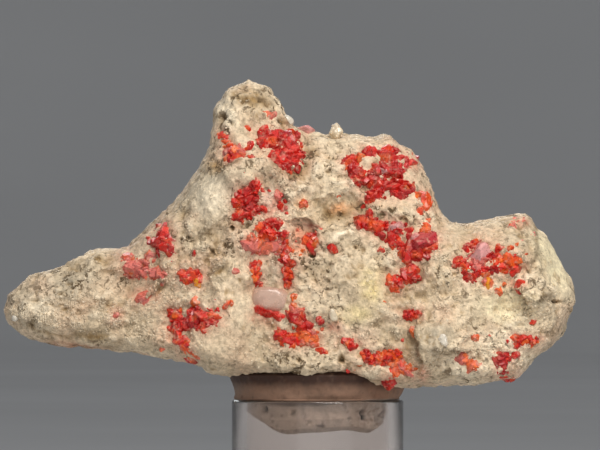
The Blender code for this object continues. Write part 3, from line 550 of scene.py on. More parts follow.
def row_heights(counts, height):
    """Share of the way from lower to upper edge for each row, crowded near both for an even rounding."""
    low_rows, middle_rows, high_rows = counts
    low = np.minimum(LOWER_ROUND / height, 0.32)[:, None]
    high = np.minimum(UPPER_ROUND / height, 0.40)[:, None]
    quarter = np.arange(low_rows) / low_rows * math.pi / 2
    at_low = low * (1 - np.cos(quarter) ** 1.2)
    at_middle = low + np.arange(middle_rows) / middle_rows * (1 - low - high)
    quarter = np.arange(high_rows + 1) / high_rows * math.pi / 2
    at_high = 1 - high * (1 - np.sin(quarter) ** 1.2)
    return np.hstack([at_low, at_middle, at_high])


def column_pairs(columns):
    """Edge pairs spaced evenly along the longer of the two edges."""
    pairs = np.array(EDGE_PAIRS)
    step = np.diff(pairs, axis=0)
    reach = np.maximum(np.hypot(step[:, 0], step[:, 1]), np.hypot(step[:, 2], step[:, 3]))
    marks = np.concatenate([[0], np.cumsum(reach)])
    wanted = np.linspace(0, marks[-1], columns + 2)[1:-1]
    return np.stack([np.interp(wanted, marks, pairs[:, i]) for i in range(4)], axis=1)


def face_points(pairs, counts, side):
    """One face of the rock: straight lines from edge to edge, stood off by the depth times the rounding."""
    low, high = pairs[:, None, 0:2], pairs[:, None, 2:4]
    height = np.hypot(pairs[:, 2] - pairs[:, 0], pairs[:, 3] - pairs[:, 1])
    share = row_heights(counts, height)
    flat = low + share[..., None] * (high - low)
    x, z = flat[..., 0], flat[..., 1]
    radius = LOWER_ROUND + (UPPER_ROUND - LOWER_ROUND) * share
    inset = np.clip(distance_to_outline(x, z) / radius, 0, 1)
    rounding = (1 - (1 - inset) ** ROUND_POWER) ** (1 / ROUND_POWER)
    taper = np.interp(x, TAPER_X, TAPER)
    if side < 0:
        depth = np.interp(z, DEPTH_Z, FRONT_DEPTH) * taper
        ragged_x, ragged_z = wandered(x, z)
        relief = (swelling_height(ragged_x, ragged_z) + ledge_height(ragged_x, ragged_z)) * inset
        return np.stack([x, -(depth * rounding + relief), z], axis=-1)
    depth = np.interp(z, DEPTH_Z, BACK_DEPTH) * taper
    for offset, slope_x, slope_z in BREAK_PLANES:
        depth = np.minimum(depth, offset + slope_x * x + slope_z * (z - 45))
    return np.stack([x, np.maximum(depth, LEAST_BACK) * rounding, z], axis=-1)


def grid_normals(grid, tips):
    """Outward unit normals from the differences between neighbours along and around the grid."""
    padded = np.concatenate([np.broadcast_to(tips[0], grid[:1].shape), grid,
                             np.broadcast_to(tips[1], grid[:1].shape)])
    along = padded[2:] - padded[:-2]
    around = np.roll(grid, -1, axis=1) - np.roll(grid, 1, axis=1)
    normal = np.cross(along, around)
    return normal / np.maximum(np.linalg.norm(normal, axis=-1, keepdims=True), 1e-9)


def cell_distance(points, size, seed):
    """Distance, in cells, to the nearest of one jittered seed per cube, and that seed's own number."""
    scaled = points / size
    base = np.floor(scaled)
    nearest = np.full(len(points), 9.0)
    number = np.zeros(len(points))
    for corner in np.ndindex(3, 3, 3):
        cell = base + np.array(corner) - 1
        jitter = np.stack([lattice_value(cell, seed + k) for k in range(3)], -1)
        gap = np.linalg.norm(cell + jitter - scaled, axis=1)
        closer = gap < nearest
        nearest = np.where(closer, gap, nearest)
        number = np.where(closer, lattice_value(cell, seed + 5), number)
    return nearest, number


def crust_relief(points, front):
    """Relief in mm: nodules, beads, grain, pocks and single holes on the crust, chips on the host rock."""
    x, z = points[:, 0], points[:, 2]
    calm = patches(x, z, SMOOTH) * front
    pocked = patches(x, z, POCKED, 1.0) * front
    rough = 1 - 0.72 * calm
    broad = smooth_noise(points, 5.0, 21)
    bead, _ = cell_distance(points + 0.35 * smooth_noise(points, 0.8, 22)[:, None], 1.5, 23)
    grain, _ = cell_distance(points, 0.62, 24)
    nodule, _ = cell_distance(points + 0.9 * smooth_noise(points, 2.0, 20)[:, None], 3.1, 19)
    height = 1.05 * rough * (0.48 - nodule) * (0.8 + 0.6 * broad)
    height += 0.52 * rough * (0.52 - bead) * (0.9 + 0.4 * broad)
    height += 0.26 * rough * (0.48 - grain)
    height += 0.13 * rough * smooth_noise(points, 0.85, 25) + 0.07 * smooth_noise(points, 0.42, 26)
    pock, number = cell_distance(points, 1.05, 27)
    keep = (number > 0.62 - 0.5 * pocked) & (lattice_value(np.floor(points / 1.4), 28) < 0.25 + pocked)
    sunk = np.where(keep, (0.20 + 0.75 * pocked) * np.exp(-((pock / 0.26) ** 2)), 0)
    height -= sunk * (1 - 0.7 * calm) * front
    for cx, cz, half_x, half_z, depth in HOLES:
        height -= depth * bump(x, z, cx, cz, half_x, half_z, 0, 1.6) * front
    chips, _ = cell_distance(points * np.array([1.0, 1.0, 1.5]), 3.4, 29)
    bare = 0.85 * (0.5 - chips) + 0.10 * smooth_noise(points, 0.7, 30)
    return np.where(front > 0.5, height, bare * 1.3 - 0.18)


# The relief is cut off at this height. The crust gives way to bare rock at about this y.
HIGHEST_GRAIN = 0.5
CRUST_EDGE_Y = 1.6
ROCK_COLUMNS = 372
FRONT_ROWS = (22, 138, 30)
BACK_ROWS = (14, 36, 16)


def rock_points():
    """The rock's loops of points, its two tips, each point's relief, and 1 on the crust or 0 on bare rock."""
    pairs = column_pairs(ROCK_COLUMNS)
    front_face = face_points(pairs, FRONT_ROWS, -1)
    back_face = face_points(pairs, BACK_ROWS, 1)
    grid = np.concatenate([front_face, back_face[:, -2:0:-1]], axis=1)
    ends = np.array(EDGE_PAIRS)
    tips = np.array([[ends[0, 0], 0, ends[0, 1]], [ends[-1, 0], 0, ends[-1, 1]]])
    flat = grid.reshape(-1, 3)
    lumps = sum(height * smooth_noise(flat, size, seed) for size, height, seed in LUMPS) * LUMP_SHARE
    lumps = lumps * np.clip(distance_to_outline(flat[:, 0], flat[:, 2]) / 4.0, 0.30, 1)
    normal = grid_normals(grid, tips).reshape(-1, 3)
    skin = flat + normal * lumps[:, None]
    grid = skin.reshape(grid.shape)
    boundary = CRUST_EDGE_Y + 1.2 * smooth_noise(skin, 4.0, 41) + 0.5 * smooth_noise(skin, 1.2, 42)
    boundary = boundary - 2.6 * bump(skin[:, 0], skin[:, 2], -36.5, 31.2, 6.5, 2.0, 0, 2.0)
    front = 1 / (1 + np.exp(np.clip((skin[:, 1] - boundary) / 0.25, -40, 40)))
    relief = crust_relief(skin, front)
    normal = grid_normals(grid, tips).reshape(-1, 3)
    edge = distance_to_outline(skin[:, 0], skin[:, 2])
    inside = np.clip(edge / 1.2, 0.75, 1)
    inset = 0.16 - 0.15 * np.exp(-((edge / 1.5) ** 2)) * np.clip((skin[:, 0] + 46) / 3, 0, 1)
    skin = skin + normal * (np.minimum(relief, HIGHEST_GRAIN) * inside - inset)[:, None]
    return skin.reshape(grid.shape), tips, relief, front


rock_grid, rock_tips, rock_relief, rock_front = rock_points()
rock_columns, rock_rows = rock_grid.shape[:2]
rock_faces = [face[::-1] for face in closed_faces(rock_columns, rock_rows)]
rock_skin = np.vstack([rock_grid.reshape(-1, 3), rock_tips])
rock = surface("crusted_rock", rock_skin, rock_faces)

# The red crystal clusters, whose dust reddens the crust around them. A limb is x, z at one end, x, z at the
# other, width, and tone: 0 deep red, 0.5 scarlet, 1.2 orange, 1.7 and above dusty pink.
RED_CLUSTERS = {
    "realgar_summit": (
        (-7.7, 63.4, -7.5, 61.6, 2.0, 0.1), (-6.8, 62.9, -3.4, 62.5, 1.9, 0.0),
        (-5.0, 62.6, -3.7, 59.8, 3.0, 0.0), (-5.8, 59.9, -2.7, 59.5, 1.8, 0.2),
        (-4.7, 58.7, -3.8, 57.9, 1.4, 0.1),
    ),
    "realgar_spire_left": ((-13.3, 60.5, -11.4, 60.9, 1.5, 1.4), (-13.0, 59.7, -12.0, 60.2, 1.4, 0.3)),
    "realgar_spire_ember": ((-14.5, 63.1, -13.6, 62.7, 1.1, 1.0),),
    "realgar_arm_spike": ((-22.7, 49.3, -22.5, 46.2, 1.9, 0.1), (-24.6, 47.5, -22.9, 47.3, 1.0, 0.1)),
    "realgar_arm": (
        (-28.0, 45.2, -27.6, 44.0, 1.6, 1.8), (-27.8, 44.2, -25.8, 43.4, 2.1, 1.7),
        (-25.8, 43.0, -22.8, 42.7, 1.3, 1.8),
    ),
    "realgar_arm_pebble": ((-26.2, 39.4, -24.7, 39.5, 1.8, 1.8),),
    "realgar_lower_left": (
        (-21.0, 37.2, -20.4, 35.6, 1.5, 0.5), (-20.6, 35.3, -18.0, 35.3, 1.3, 0.0),
        (-18.4, 36.6, -15.0, 36.3, 2.0, 0.4), (-17.8, 35.2, -16.2, 34.9, 1.2, 0.5),
        (-20.8, 34.6, -19.4, 31.2, 1.7, 0.7),
    ),
    "realgar_ember": ((-19.6, 42.3, -17.6, 42.6, 1.7, 0.7), (-17.9, 42.0, -17.6, 41.4, 1.0, 1.3)),
    "realgar_upper_center": (
        (-9.1, 55.9, -8.8, 54.9, 1.1, 0.3), (-10.6, 54.6, -9.7, 52.0, 2.3, 0.0),
        (-11.7, 51.0, -9.6, 51.8, 1.3, 0.2), (-12.0, 53.3, -11.3, 52.6, 0.9, 0.3),
    ),
    "realgar_center": (
        (-8.4, 49.6, -8.1, 48.0, 1.3, 0.3), (-7.2, 50.0, -5.6, 50.3, 1.2, 0.1),
        (-9.6, 46.9, -5.6, 47.0, 2.4, 1.85), (-5.2, 48.6, -4.6, 45.6, 1.1, 0.1),
        (-5.0, 45.2, -3.8, 44.2, 1.4, 0.4), (-7.6, 49.4, -6.6, 48.0, 1.4, 0.6),
    ),
    "realgar_left_leg": ((-9.2, 44.2, -8.8, 41.2, 1.0, 0.6),),
    "realgar_right_leg": ((-4.5, 43.4, -4.3, 41.0, 1.0, 0.5),),
    "realgar_core": ((-1.4, 48.2, -0.4, 46.9, 1.3, 0.7),),
    "realgar_bar": ((-9.1, 36.7, -5.7, 35.8, 1.0, 0.2),),
    "realgar_lower_center": (
        (-3.8, 37.5, -2.8, 36.6, 1.5, 1.5), (-3.2, 36.4, -1.9, 34.4, 1.8, 0.0),
        (-5.2, 33.0, -2.6, 33.1, 1.5, 0.6), (-2.2, 33.4, -0.4, 33.2, 1.8, 1.5),
        (-5.6, 34.5, -5.3, 33.6, 0.9, 0.5),
    ),
    "realgar_dart": ((3.8, 32.8, 5.3, 32.4, 1.1, 0.4),),
    "realgar_lower_right": (
        (6.8, 30.6, 8.2, 30.3, 1.1, 0.3), (8.2, 30.1, 11.8, 30.8, 1.4, 0.6),
        (11.2, 29.6, 13.6, 28.2, 1.3, 1.5), (12.0, 29.0, 10.2, 27.2, 1.2, 0.6),
    ),
    "realgar_foot": ((4.7, 28.9, 5.0, 27.9, 1.2, 0.5),),
    "realgar_shoulder": (
        (4.0, 58.9, 5.4, 59.4, 1.2, 0.3), (5.2, 58.8, 6.0, 56.4, 1.6, 0.0),
        (6.0, 56.7, 9.0, 56.6, 1.7, 0.1), (8.6, 58.1, 12.4, 57.8, 1.8, 0.0),
        (9.8, 60.4, 11.4, 60.2, 1.7, 0.0), (11.2, 59.6, 14.2, 58.9, 1.9, 0.2),
        (9.0, 56.0, 13.4, 55.1, 2.2, 0.0), (7.4, 53.9, 9.8, 54.8, 1.3, 0.1),
    ),
    "realgar_shoulder_crest": ((7.1, 60.9, 8.2, 60.5, 1.2, 0.1),),
    "realgar_shoulder_tail": ((15.4, 54.4, 15.9, 52.6, 1.5, 0.8),),
    "realgar_brow": (
        (6.8, 50.6, 9.6, 49.2, 1.7, 0.0), (10.2, 49.5, 12.6, 49.2, 1.3, 0.0),
        (10.8, 48.0, 12.0, 46.8, 1.5, 0.4), (13.6, 47.0, 16.6, 47.4, 2.4, 0.0),
        (12.4, 45.4, 15.8, 46.0, 1.7, 0.1), (15.9, 50.0, 16.0, 48.6, 1.1, 1.1),
    ),
    "realgar_middle_right": (
        (12.9, 42.4, 14.3, 43.1, 1.9, 0.2), (10.6, 41.8, 11.6, 40.2, 1.3, 0.9),
        (11.4, 41.4, 13.0, 42.2, 1.1, 0.3),
    ),
    "realgar_splinter": ((12.8, 36.6, 14.8, 37.0, 0.9, 0.3),),
    "realgar_east": (
        (22.9, 43.9, 24.3, 46.5, 2.4, 2.0), (21.9, 46.5, 23.8, 47.4, 0.8, 0.2),
        (25.0, 44.9, 25.7, 45.5, 1.0, 0.0), (23.0, 43.5, 26.2, 43.5, 1.2, 0.0),
        (26.2, 44.3, 29.0, 44.2, 2.0, 0.8), (20.6, 44.6, 22.2, 43.4, 1.1, 0.6),
        (21.9, 42.2, 23.2, 42.3, 1.1, 0.1), (24.7, 42.6, 25.1, 41.1, 1.0, 1.2),
    ),
    "realgar_east_sliver": ((29.0, 41.2, 30.1, 41.5, 0.9, 0.5),),
    "realgar_right_edge": ((29.0, 32.8, 30.0, 32.8, 1.1, 0.3), (30.0, 32.8, 32.2, 32.8, 1.1, 0.8)),
    "realgar_corner": (
        (26.9, 30.5, 27.6, 29.7, 1.2, 0.1), (26.4, 28.5, 27.4, 28.3, 1.0, 0.2),
        (27.3, 29.4, 27.9, 27.8, 1.0, 0.1), (27.7, 27.8, 28.9, 28.1, 1.6, 0.3),
    ),
}

# Small groups of red crystals on their own: x, z, width, tone.
RED_STRAYS = (
    (-6.9, 66.0, 1.1, 2.0), (-9.9, 61.3, 0.8, 0.4), (-9.6, 59.7, 0.7, 0.4), (-13.1, 61.5, 0.6, 0.4),
    (-10.3, 64.0, 0.5, 0.5), (-25.0, 45.5, 0.9, 1.7), (-22.5, 31.8, 0.7, 1.6), (-18.3, 38.8, 0.8, 1.6),
    (-18.0, 45.6, 0.6, 0.4), (-13.0, 38.4, 1.1, 1.0), (-12.0, 43.2, 0.9, 2.0), (-29.7, 36.5, 0.7, 2.0),
    (-5.6, 52.6, 0.6, 0.3), (-8.0, 52.2, 0.5, 0.3), (-6.0, 54.2, 0.6, 1.8), (-2.0, 53.0, 1.0, 1.0),
    (2.2, 46.6, 0.6, 0.6), (-3.5, 39.3, 1.1, 1.0), (0.3, 35.8, 1.0, 0.4), (0.8, 31.3, 0.9, 0.7),
    (7.3, 27.2, 1.0, 1.1), (6.4, 59.8, 0.9, 1.1), (12.8, 55.2, 0.8, 1.1), (15.0, 51.6, 0.8, 1.0),
    (7.5, 51.6, 0.7, 0.3), (9.3, 46.4, 0.8, 0.5), (13.7, 34.5, 0.7, 1.6), (26.5, 46.6, 0.9, 0.9),
    (28.3, 46.3, 0.9, 0.9), (29.3, 46.9, 0.7, 0.9), (26.3, 40.3, 0.8, 0.9), (31.6, 35.5, 0.6, 0.5),
    (29.3, 30.8, 0.9, 0.1), (23.2, 33.3, 0.7, 1.4), (29.2, 50.2, 1.4, 1.6),
    (30.4, 50.3, 1.4, 1.4), (28.4, 49.6, 1.0, 1.7), (31.6, 48.3, 0.8, 2.0), (16.2, 50.6, 0.6, 1.1),
    (16.1, 49.6, 0.9, 1.2), (28.0, 43.9, 0.5, 1.2), (29.4, 44.6, 0.4, 1.4),
)

CREAM = linear(226, 204, 172)
PALE = linear(246, 228, 198)
GREIGE = linear(198, 176, 144)
ROSE = linear(222, 150, 122)
LILAC_GREY = linear(222, 194, 184)
SOIL = linear(186, 136, 104)
PEACH = linear(240, 176, 124)
OCHRE = linear(156, 124, 76)
STRAW = linear(232, 210, 148)
BUTTER = linear(248, 232, 192)
GREY = linear(190, 176, 152)
UMBER = linear(112, 88, 56)
CAVITY_SHADOW = linear(118, 52, 36)
HOST = linear(166, 142, 114)
HOST_DARK = linear(104, 86, 68)

# Marks on the crust: tone, strength, and for each patch x, z, half width, half height and turn.
MARKS = (
    (GREIGE, 0.5, ((2.0, 44.0, 5.0, 5.0, 0), (-26.0, 40.0, 6.0, 4.0, 0), (-16.0, 49.5, 3.0, 3.0, 0),
                   (-9.6, 65.0, 3.0, 2.4, 0))),
    (LILAC_GREY, 0.8, ((-7.0, 53.2, 1.6, 1.7, 0), (-5.0, 48.0, 0.7, 1.5, 0))),
    (SOIL, 0.9, ((-36.2, 31.9, 4.8, 0.7, -6), (-1.0, 27.2, 2.0, 0.4, 0))),
    (GREY, 0.6, ((-37.0, 40.6, 4.4, 2.3, 25), (-42.5, 37.0, 3.6, 3.6, 0), (17.4, 33.4, 2.4, 2.6, 0),
                 (-6.8, 43.0, 1.9, 2.5, 0), (-15.4, 54.4, 4.4, 3.4, 40))),
    (STRAW, 0.55, ((8.0, 41.0, 1.8, 3.0, 0), (5.6, 36.8, 2.4, 1.4, 10))),
    (BUTTER, 0.9, ((34.8, 44.8, 2.2, 5.0, 25), (28.0, 38.0, 4.0, 3.0, 0))),
    (OCHRE, 0.75, ((-10.4, 68.6, 3.4, 1.3, -12), (-13.6, 66.0, 1.0, 1.6, 20), (-15.0, 58.5, 1.4, 0.9, -10),
                   (-1.1, 60.8, 1.1, 1.3, 20), (-3.2, 57.4, 2.0, 0.9, -20), (-5.2, 65.2, 0.9, 0.5, -20),
                   # The ochre patch at x 3.2, z 52 lies in the recess over the white ridge: a brown stain,
                   # with painted shade of the slope in it.
                   # The thin ochre lines at x -14.5, z 43 and at x -23.1, z 40.4 run along ledges: painted
                   # shadow under their steps.
                   (3.2, 52.0, 3.2, 1.5, 14), (-33.0, 33.6, 2.4, 0.7, 0), (-14.5, 43.0, 1.9, 0.4, 34),
                   (-23.1, 40.4, 1.0, 0.4, 48), (-32.5, 44.8, 0.9, 0.6, 0), (9.0, 59.3, 1.2, 0.6, 20),
                   (7.2, 55.5, 0.8, 0.6, 0))),
    (UMBER, 0.9, ((-8.4, 68.4, 0.8, 0.4, -20), (-7.1, 67.7, 0.6, 0.35, 20), (-12.9, 65.2, 0.7, 0.3, 0),
                  (-10.5, 68.1, 0.6, 0.3, 0), (-1.2, 60.3, 0.9, 0.6, 20),
                  (-3.3, 57.9, 1.0, 0.5, -10), (-4.6, 65.0, 1.0, 0.35, -10), (-8.3, 69.7, 0.7, 0.3, 20))),
    # Painted shadow: a dark red-brown streak in the cavity under the ledge at x -0.8, z 49.7.
    (CAVITY_SHADOW, 1.0, ((-0.8, 49.7, 1.3, 0.42, -6),)),
    (PEACH, 0.7, ((-2.6, 48.4, 1.2, 1.0, 0), (-2.4, 46.6, 1.5, 0.9, 0), (-2.2, 53.0, 1.1, 0.8, 0),
                  (3.2, 52.4, 1.5, 0.8, 14))),
    (ROSE, 0.6, ((-2.5, 47.8, 1.9, 2.6, 0), (-29.7, 36.5, 1.2, 1.4, 0), (2.6, 35.0, 1.2, 1.0, 0),
                 (15.6, 28.0, 0.9, 1.1, 0), (30.0, 50.2, 1.4, 0.9, 0), (22.5, 29.5, 2.2, 0.7, -38),
                 (-7.0, 52.6, 2.2, 2.0, 0))),
    (PALE, 1.0, ((-40.9, 37.8, 2.0, 1.4, -10), (4.0, 48.7, 2.0, 0.6, 28), (18.2, 32.7, 0.5, 0.8, 10),
                  (30.0, 29.6, 1.9, 1.4, 35), (30.8, 42.3, 1.1, 0.5, 35), (-13.4, 66.4, 1.4, 2.4, 20),
                  (21.0, 29.0, 3.0, 2.0, 0), (-16.0, 54.0, 2.4, 2.4, 40),
                  # The pale patch at x 27, z 32 is painted light: it lifts a low area that slopes down away
                  # from the lamps.
                  (27.0, 32.0, 4.5, 3.0, 0))),
)


def near_runs(x, z, runs):
    """How near each point is to any straight run: the greatest exp(-d^2), d being distance over width."""
    nearest = np.zeros_like(x)
    for *ends, width in runs:
        nearest = np.maximum(nearest, np.exp(-((line_distance(x, z, *ends) / width) ** 2)))
    return nearest


def rock_tint(points, relief, front):
    """Colour of each point: cream to grey-beige, darker in hollows, painted shadow at ledges, red dust, marks.
    """
    x, z = points[:, 0], points[:, 2]
    fleck = smooth_noise(points, 0.9, 53) + 0.6 * smooth_noise(points, 0.45, 54)
    limbs = [limb for limbs in RED_CLUSTERS.values() for limb in limbs]
    red_dust = near_runs(x, z, [(*limb[:4], 0.7 * limb[4] + 0.55) for limb in limbs])
    ledge_shadow = near_runs(*wandered(x, z), [(*ledge[:4], 0.35) for ledge in LEDGES])
    pocket_dirt = smooth_noise(points, 2.2, 55) + 0.8 * smooth_noise(points, 0.5, 56) - 0.75
    marks = [(shade, strength * patches(x, z, table, 1.3) * (1.1 + 0.5 * fleck))
             for shade, strength, table in MARKS]
    colour = layered(CREAM, [
        (GREIGE, 0.35 + 0.8 * smooth_noise(points, 6.5, 51)),
        (ROSE, 0.22 * smooth_noise(points, 3.7, 52)),
        *marks,
        (ROSE, 0.55 * red_dust * (0.8 + 0.6 * fleck)),
        # Paler where the relief stands up; ochre, then umber, the deeper it sinks.
        (PALE, np.clip((relief - 0.05) / 0.40, 0, 1) * 0.6),
        # Painted shadow: umber along each ledge line, where the step overhangs.
        (UMBER, 0.65 * ledge_shadow * (0.9 + 0.6 * fleck)),
        (OCHRE, np.clip((-relief - 0.16) / 0.4, 0, 1) * 0.6),
        (UMBER, np.clip((-relief - 0.45) / 0.45, 0, 1) * 0.9),
        (OCHRE, pocket_dirt)])
    # Darker host rock in random patches and where the chips sink.
    host_dark_share = 0.25 + 0.35 * smooth_noise(points, 2.6, 57) + 0.2 * fleck - 0.9 * relief
    pale = 0.6 * np.clip(smooth_noise(points, 5.0, 58), 0, 1) + 0.25 * np.clip(fleck, 0, 1)
    bare = layered(HOST, ((HOST_DARK, host_dark_share), (GREIGE, pale)))
    return bare * (1 - front)[:, None] + colour * front[:, None]


def crust_dirt(points, front):
    """How much dirt the finest pits hold, 0 to 1: some everywhere, more where pocked, little where smooth."""
    x, z = points[:, 0], points[:, 2]
    dirt = 0.52 + 0.75 * patches(x, z, POCKED, 1.0) - 0.40 * patches(x, z, SMOOTH)
    dirt += 0.45 * smooth_noise(points, 3.2, 59)
    return np.clip(dirt, 0.02, 1) * (0.4 + 0.6 * front)


def combined(tree, operation, first, second):
    """Two values put together by a node of the named operation."""
    made = node(tree, "ShaderNodeMath", operation=operation)
    tree.links.new(first, made.inputs[0])
    tree.links.new(second, made.inputs[1])
    return made.outputs["Value"]


def crust_finish():
    """Granular calcite: the stored tint times fine noise, darkened and sunk in specks where there is dirt."""
    made, tree, shader = new_finish("calcite_crust")
    dirt = node(tree, "ShaderNodeAttribute", attribute_name="dirt").outputs["Fac"]
    grain = solid_noise(tree, Scale=1000.0 / 0.6, Detail=5.0, Roughness=0.68)
    speck = solid_noise(tree, Scale=1000.0 / 1.15, Detail=4.0, Roughness=0.72, Distortion=0.5)
    held = combined(tree, "MULTIPLY", ranged(tree, speck, (0.54, 0.605), (0, 1)), dirt)
    clean = scaled_tint(tree, ranged(tree, grain, (0.28, 0.72), (0.60, 1.34)))

    # In a mix of colours the share is input 0, the colours are inputs 6 and 7, and the result is output 2.
    stained = node(tree, "ShaderNodeMix", data_type="RGBA")
    tree.links.new(held, stained.inputs[0])
    tree.links.new(clean, stained.inputs[6])
    stained.inputs[7].default_value = (*(UMBER * 0.8), 1)
    grit = node(tree, "ShaderNodeBump", Strength=0.7, Distance=0.28 * MM,
                Height=combined(tree, "SUBTRACT", grain, held))
    feed(tree, shader, Base_Color=stained.outputs[2], IOR=1.5, Normal=grit.outputs["Normal"],
         Roughness=ranged(tree, grain, (0.3, 0.7), (0.85, 0.5)))
    return made


tip_relief = [rock_relief[:rock_rows].mean(), rock_relief[-rock_rows:].mean()]
skin_front = np.append(rock_front, [1.0, 1.0])
rock_colour = rock_tint(rock_skin, np.append(rock_relief, tip_relief), skin_front)
set_tint(rock, rock_colour)
rock_dirt = crust_dirt(rock_skin, skin_front)
rock.data.attributes.new("dirt", "FLOAT", "POINT").data.foreach_set("value", rock_dirt)
settle(rock, crust_finish(), "matrix", "matrix_rock")
rock_tree = BVHTree.FromPolygons([Vector(p) for p in rock_skin], rock_faces)


# The small calcite grains. Thousands of glassy grains a fraction of a millimetre across, grown all over the
# crust. Each is a blunt five-sided crystal; they are one joined mesh.

GRAIN_COUNT = 7000
GRAIN_SIDES = 5
GRAIN_SEED = 7


def crystal_batch(centres, axes, spins, lengths, widths, flatness, draw, sides):
    """Closed prisms for arrays of centres and axes, each with a ring near either end and a tip beyond.

    A ring's radius varies by side, each end's ring lies on a slanting plane, and the points sit off the axis.
    """
    count = len(centres)
    axes = axes / np.linalg.norm(axes, axis=1, keepdims=True)
    helper = np.where(np.abs(axes[:, 2:3]) > 0.9, [[1.0, 0, 0]], [[0, 0, 1.0]])
    across = np.cross(axes, helper)
    across /= np.linalg.norm(across, axis=1, keepdims=True)
    beside = np.cross(axes, across)
    angle = np.linspace(0, 2 * math.pi, sides, endpoint=False)[None, :] + spins[:, None]
    radius = 0.5 * widths[:, None] * draw.uniform(0.78, 1.08, (count, sides))
    u = radius * np.cos(angle)
    v = radius * np.sin(angle) * flatness[:, None]
    half = 0.5 * lengths[:, None]
    slant_u = draw.uniform(-0.7, 0.7, (count, 2, 1))
    slant_v = draw.uniform(-0.7, 0.7, (count, 2, 1))
    low = -half * 0.62 + slant_u[:, 0] * u * 0.5 + slant_v[:, 0] * v * 0.5
    high = half * 0.62 + slant_u[:, 1] * u * 0.6 + slant_v[:, 1] * v * 0.6

    def placed(a, b, t):
        """Points at offsets a across, b beside and t along the axis."""
        return (centres[:, None] + across[:, None] * a[..., None] + beside[:, None] * b[..., None]
                + axes[:, None] * t[..., None])

    tip_u = draw.uniform(-0.18, 0.18, (count, 2)) * widths[:, None]
    tip_v = draw.uniform(-0.18, 0.18, (count, 2)) * (widths * flatness)[:, None]
    lower_tip = placed(tip_u[:, :1], tip_v[:, :1], -half)
    upper_tip = placed(tip_u[:, 1:], tip_v[:, 1:], half)
    points = np.concatenate([lower_tip, placed(u, v, low), placed(u, v, high), upper_tip], axis=1)
    j = np.arange(sides)
    k = (j + 1) % sides
    low_ring, high_ring, top = 1 + j, 1 + sides + j, np.full(sides, 1 + 2 * sides)
    fan = np.stack([np.zeros(sides, int), 1 + k, low_ring], -1)
    first = np.stack([low_ring, 1 + k, high_ring], -1)
    second = np.stack([1 + k, 1 + sides + k, high_ring], -1)
    cap = np.stack([high_ring, 1 + sides + k, top], -1)
    template = np.concatenate([fan, first, second, cap])
    per = 2 * sides + 2
    faces = template[None] + (np.arange(count) * per)[:, None, None]
    return points.reshape(-1, 3), faces.reshape(-1, 3), per


draw = np.random.RandomState(GRAIN_SEED)
normals = grid_normals(rock_grid, rock_tips).reshape(-1, 3)
flat_grid = rock_grid.reshape(-1, 3)
calm = patches(flat_grid[:, 0], flat_grid[:, 2], SMOOTH)
chance = rock_front * (1 - 0.8 * calm) * np.clip(0.75 + smooth_noise(flat_grid, 2.4, 61), 0.1, 1.6)
chance *= np.clip(0.6 + 2.0 * rock_relief, 0.15, 1.3)
picked = draw.choice(len(flat_grid), GRAIN_COUNT, replace=False, p=chance / chance.sum())
size = 0.20 + 0.30 * draw.uniform(0, 1, GRAIN_COUNT) ** 2
size *= np.clip(distance_to_outline(flat_grid[picked, 0], flat_grid[picked, 2]) / 1.5, 0.5, 1)
lean = normals[picked] + draw.normal(0, 0.5, (GRAIN_COUNT, 3))
grain_points, grain_faces, per_grain = crystal_batch(
    flat_grid[picked] - normals[picked] * (size * 0.10)[:, None], lean, draw.uniform(0, 6.3, GRAIN_COUNT),
    size * draw.uniform(0.7, 1.05, GRAIN_COUNT), size, draw.uniform(0.7, 1.0, GRAIN_COUNT), draw, GRAIN_SIDES)
grains = surface("calcite_grains", grain_points, grain_faces.tolist(), smooth=False)
grain_tint = mixed(rock_colour[picked], PALE, draw.uniform(0.0, 0.55, GRAIN_COUNT))
set_tint(grains, np.repeat(grain_tint, per_grain, axis=0))
settle(grains, tinted_finish("calcite_grain", 0.7, (0.84, 1.10), (0.36, 0.62), 1.55, 0.15), "calcite")


# The pale calcite crystals. A pinkish, milky lozenge sits in the middle of the face, with a white tooth and
# ear on the top edge, a pearl near the left tip and two white chips. Each grew on the crust.

MILK_PINK = linear(228, 188, 166)
MILK_WHITE = linear(252, 242, 224)
PEBBLE_AROUND = 56
PEBBLE_RINGS = 28

# Node name: x, z, half width, half height, turn in degrees, how far it stands out, power of its shape, how
# uneven it is, tone.
PALE_CRYSTALS = {
    "calcite_lozenge": (-6.95, 38.95, 2.95, 1.8, -8, 1.5, 0.72, 0.05, MILK_PINK),
    "calcite_ear": (-4.35, 65.35, 0.95, 0.65, -35, 0.9, 0.9, 0.12, MILK_WHITE),
    "calcite_tooth": (2.8, 63.6, 1.15, 1.4, 0, 1.0, 1.45, 0.24, PALE),
    "calcite_pearl": (-44.6, 36.2, 0.55, 0.55, 0, 0.8, 0.9, 0.05, MILK_WHITE),
    "calcite_chip": (18.3, 33.0, 0.55, 0.85, 10, 0.7, 0.8, 0.26, MILK_WHITE),
    "calcite_flake": (2.2, 36.7, 0.6, 1.0, 10, 0.6, 0.8, 0.22, PALE),
}


def face_at(x, z):
    """The point of the crusted face straight behind x, z, and its outward normal."""
    hit, normal, _, _ = rock_tree.ray_cast(Vector((x, -60, z)), Vector((0, 1, 0)))
    if hit is None:
        hit, normal, _, _ = rock_tree.find_nearest(Vector((x, -4, z)))
    return np.array(hit), np.array(normal)


def pebble_grid(half_x, half_y, half_z, power):
    """A superellipsoid: x, y and z follow signed powers of sine and cosine, which flattens its faces."""
    up = np.linspace(-math.pi / 2, math.pi / 2, PEBBLE_RINGS + 2)[1:-1, None]
    around = np.linspace(0, 2 * math.pi, PEBBLE_AROUND, endpoint=False)[None, :]

    def signed(value):
        """The power of a value, with the value's own sign."""
        return np.sign(value) * np.abs(value) ** power

    x = half_x * signed(np.cos(up)) * signed(np.cos(around))
    y = half_y * signed(np.cos(up)) * signed(np.sin(around))
    z = half_z * signed(np.sin(up)) + 0 * around
    return np.stack([x, y, z], -1).reshape(-1, 3)


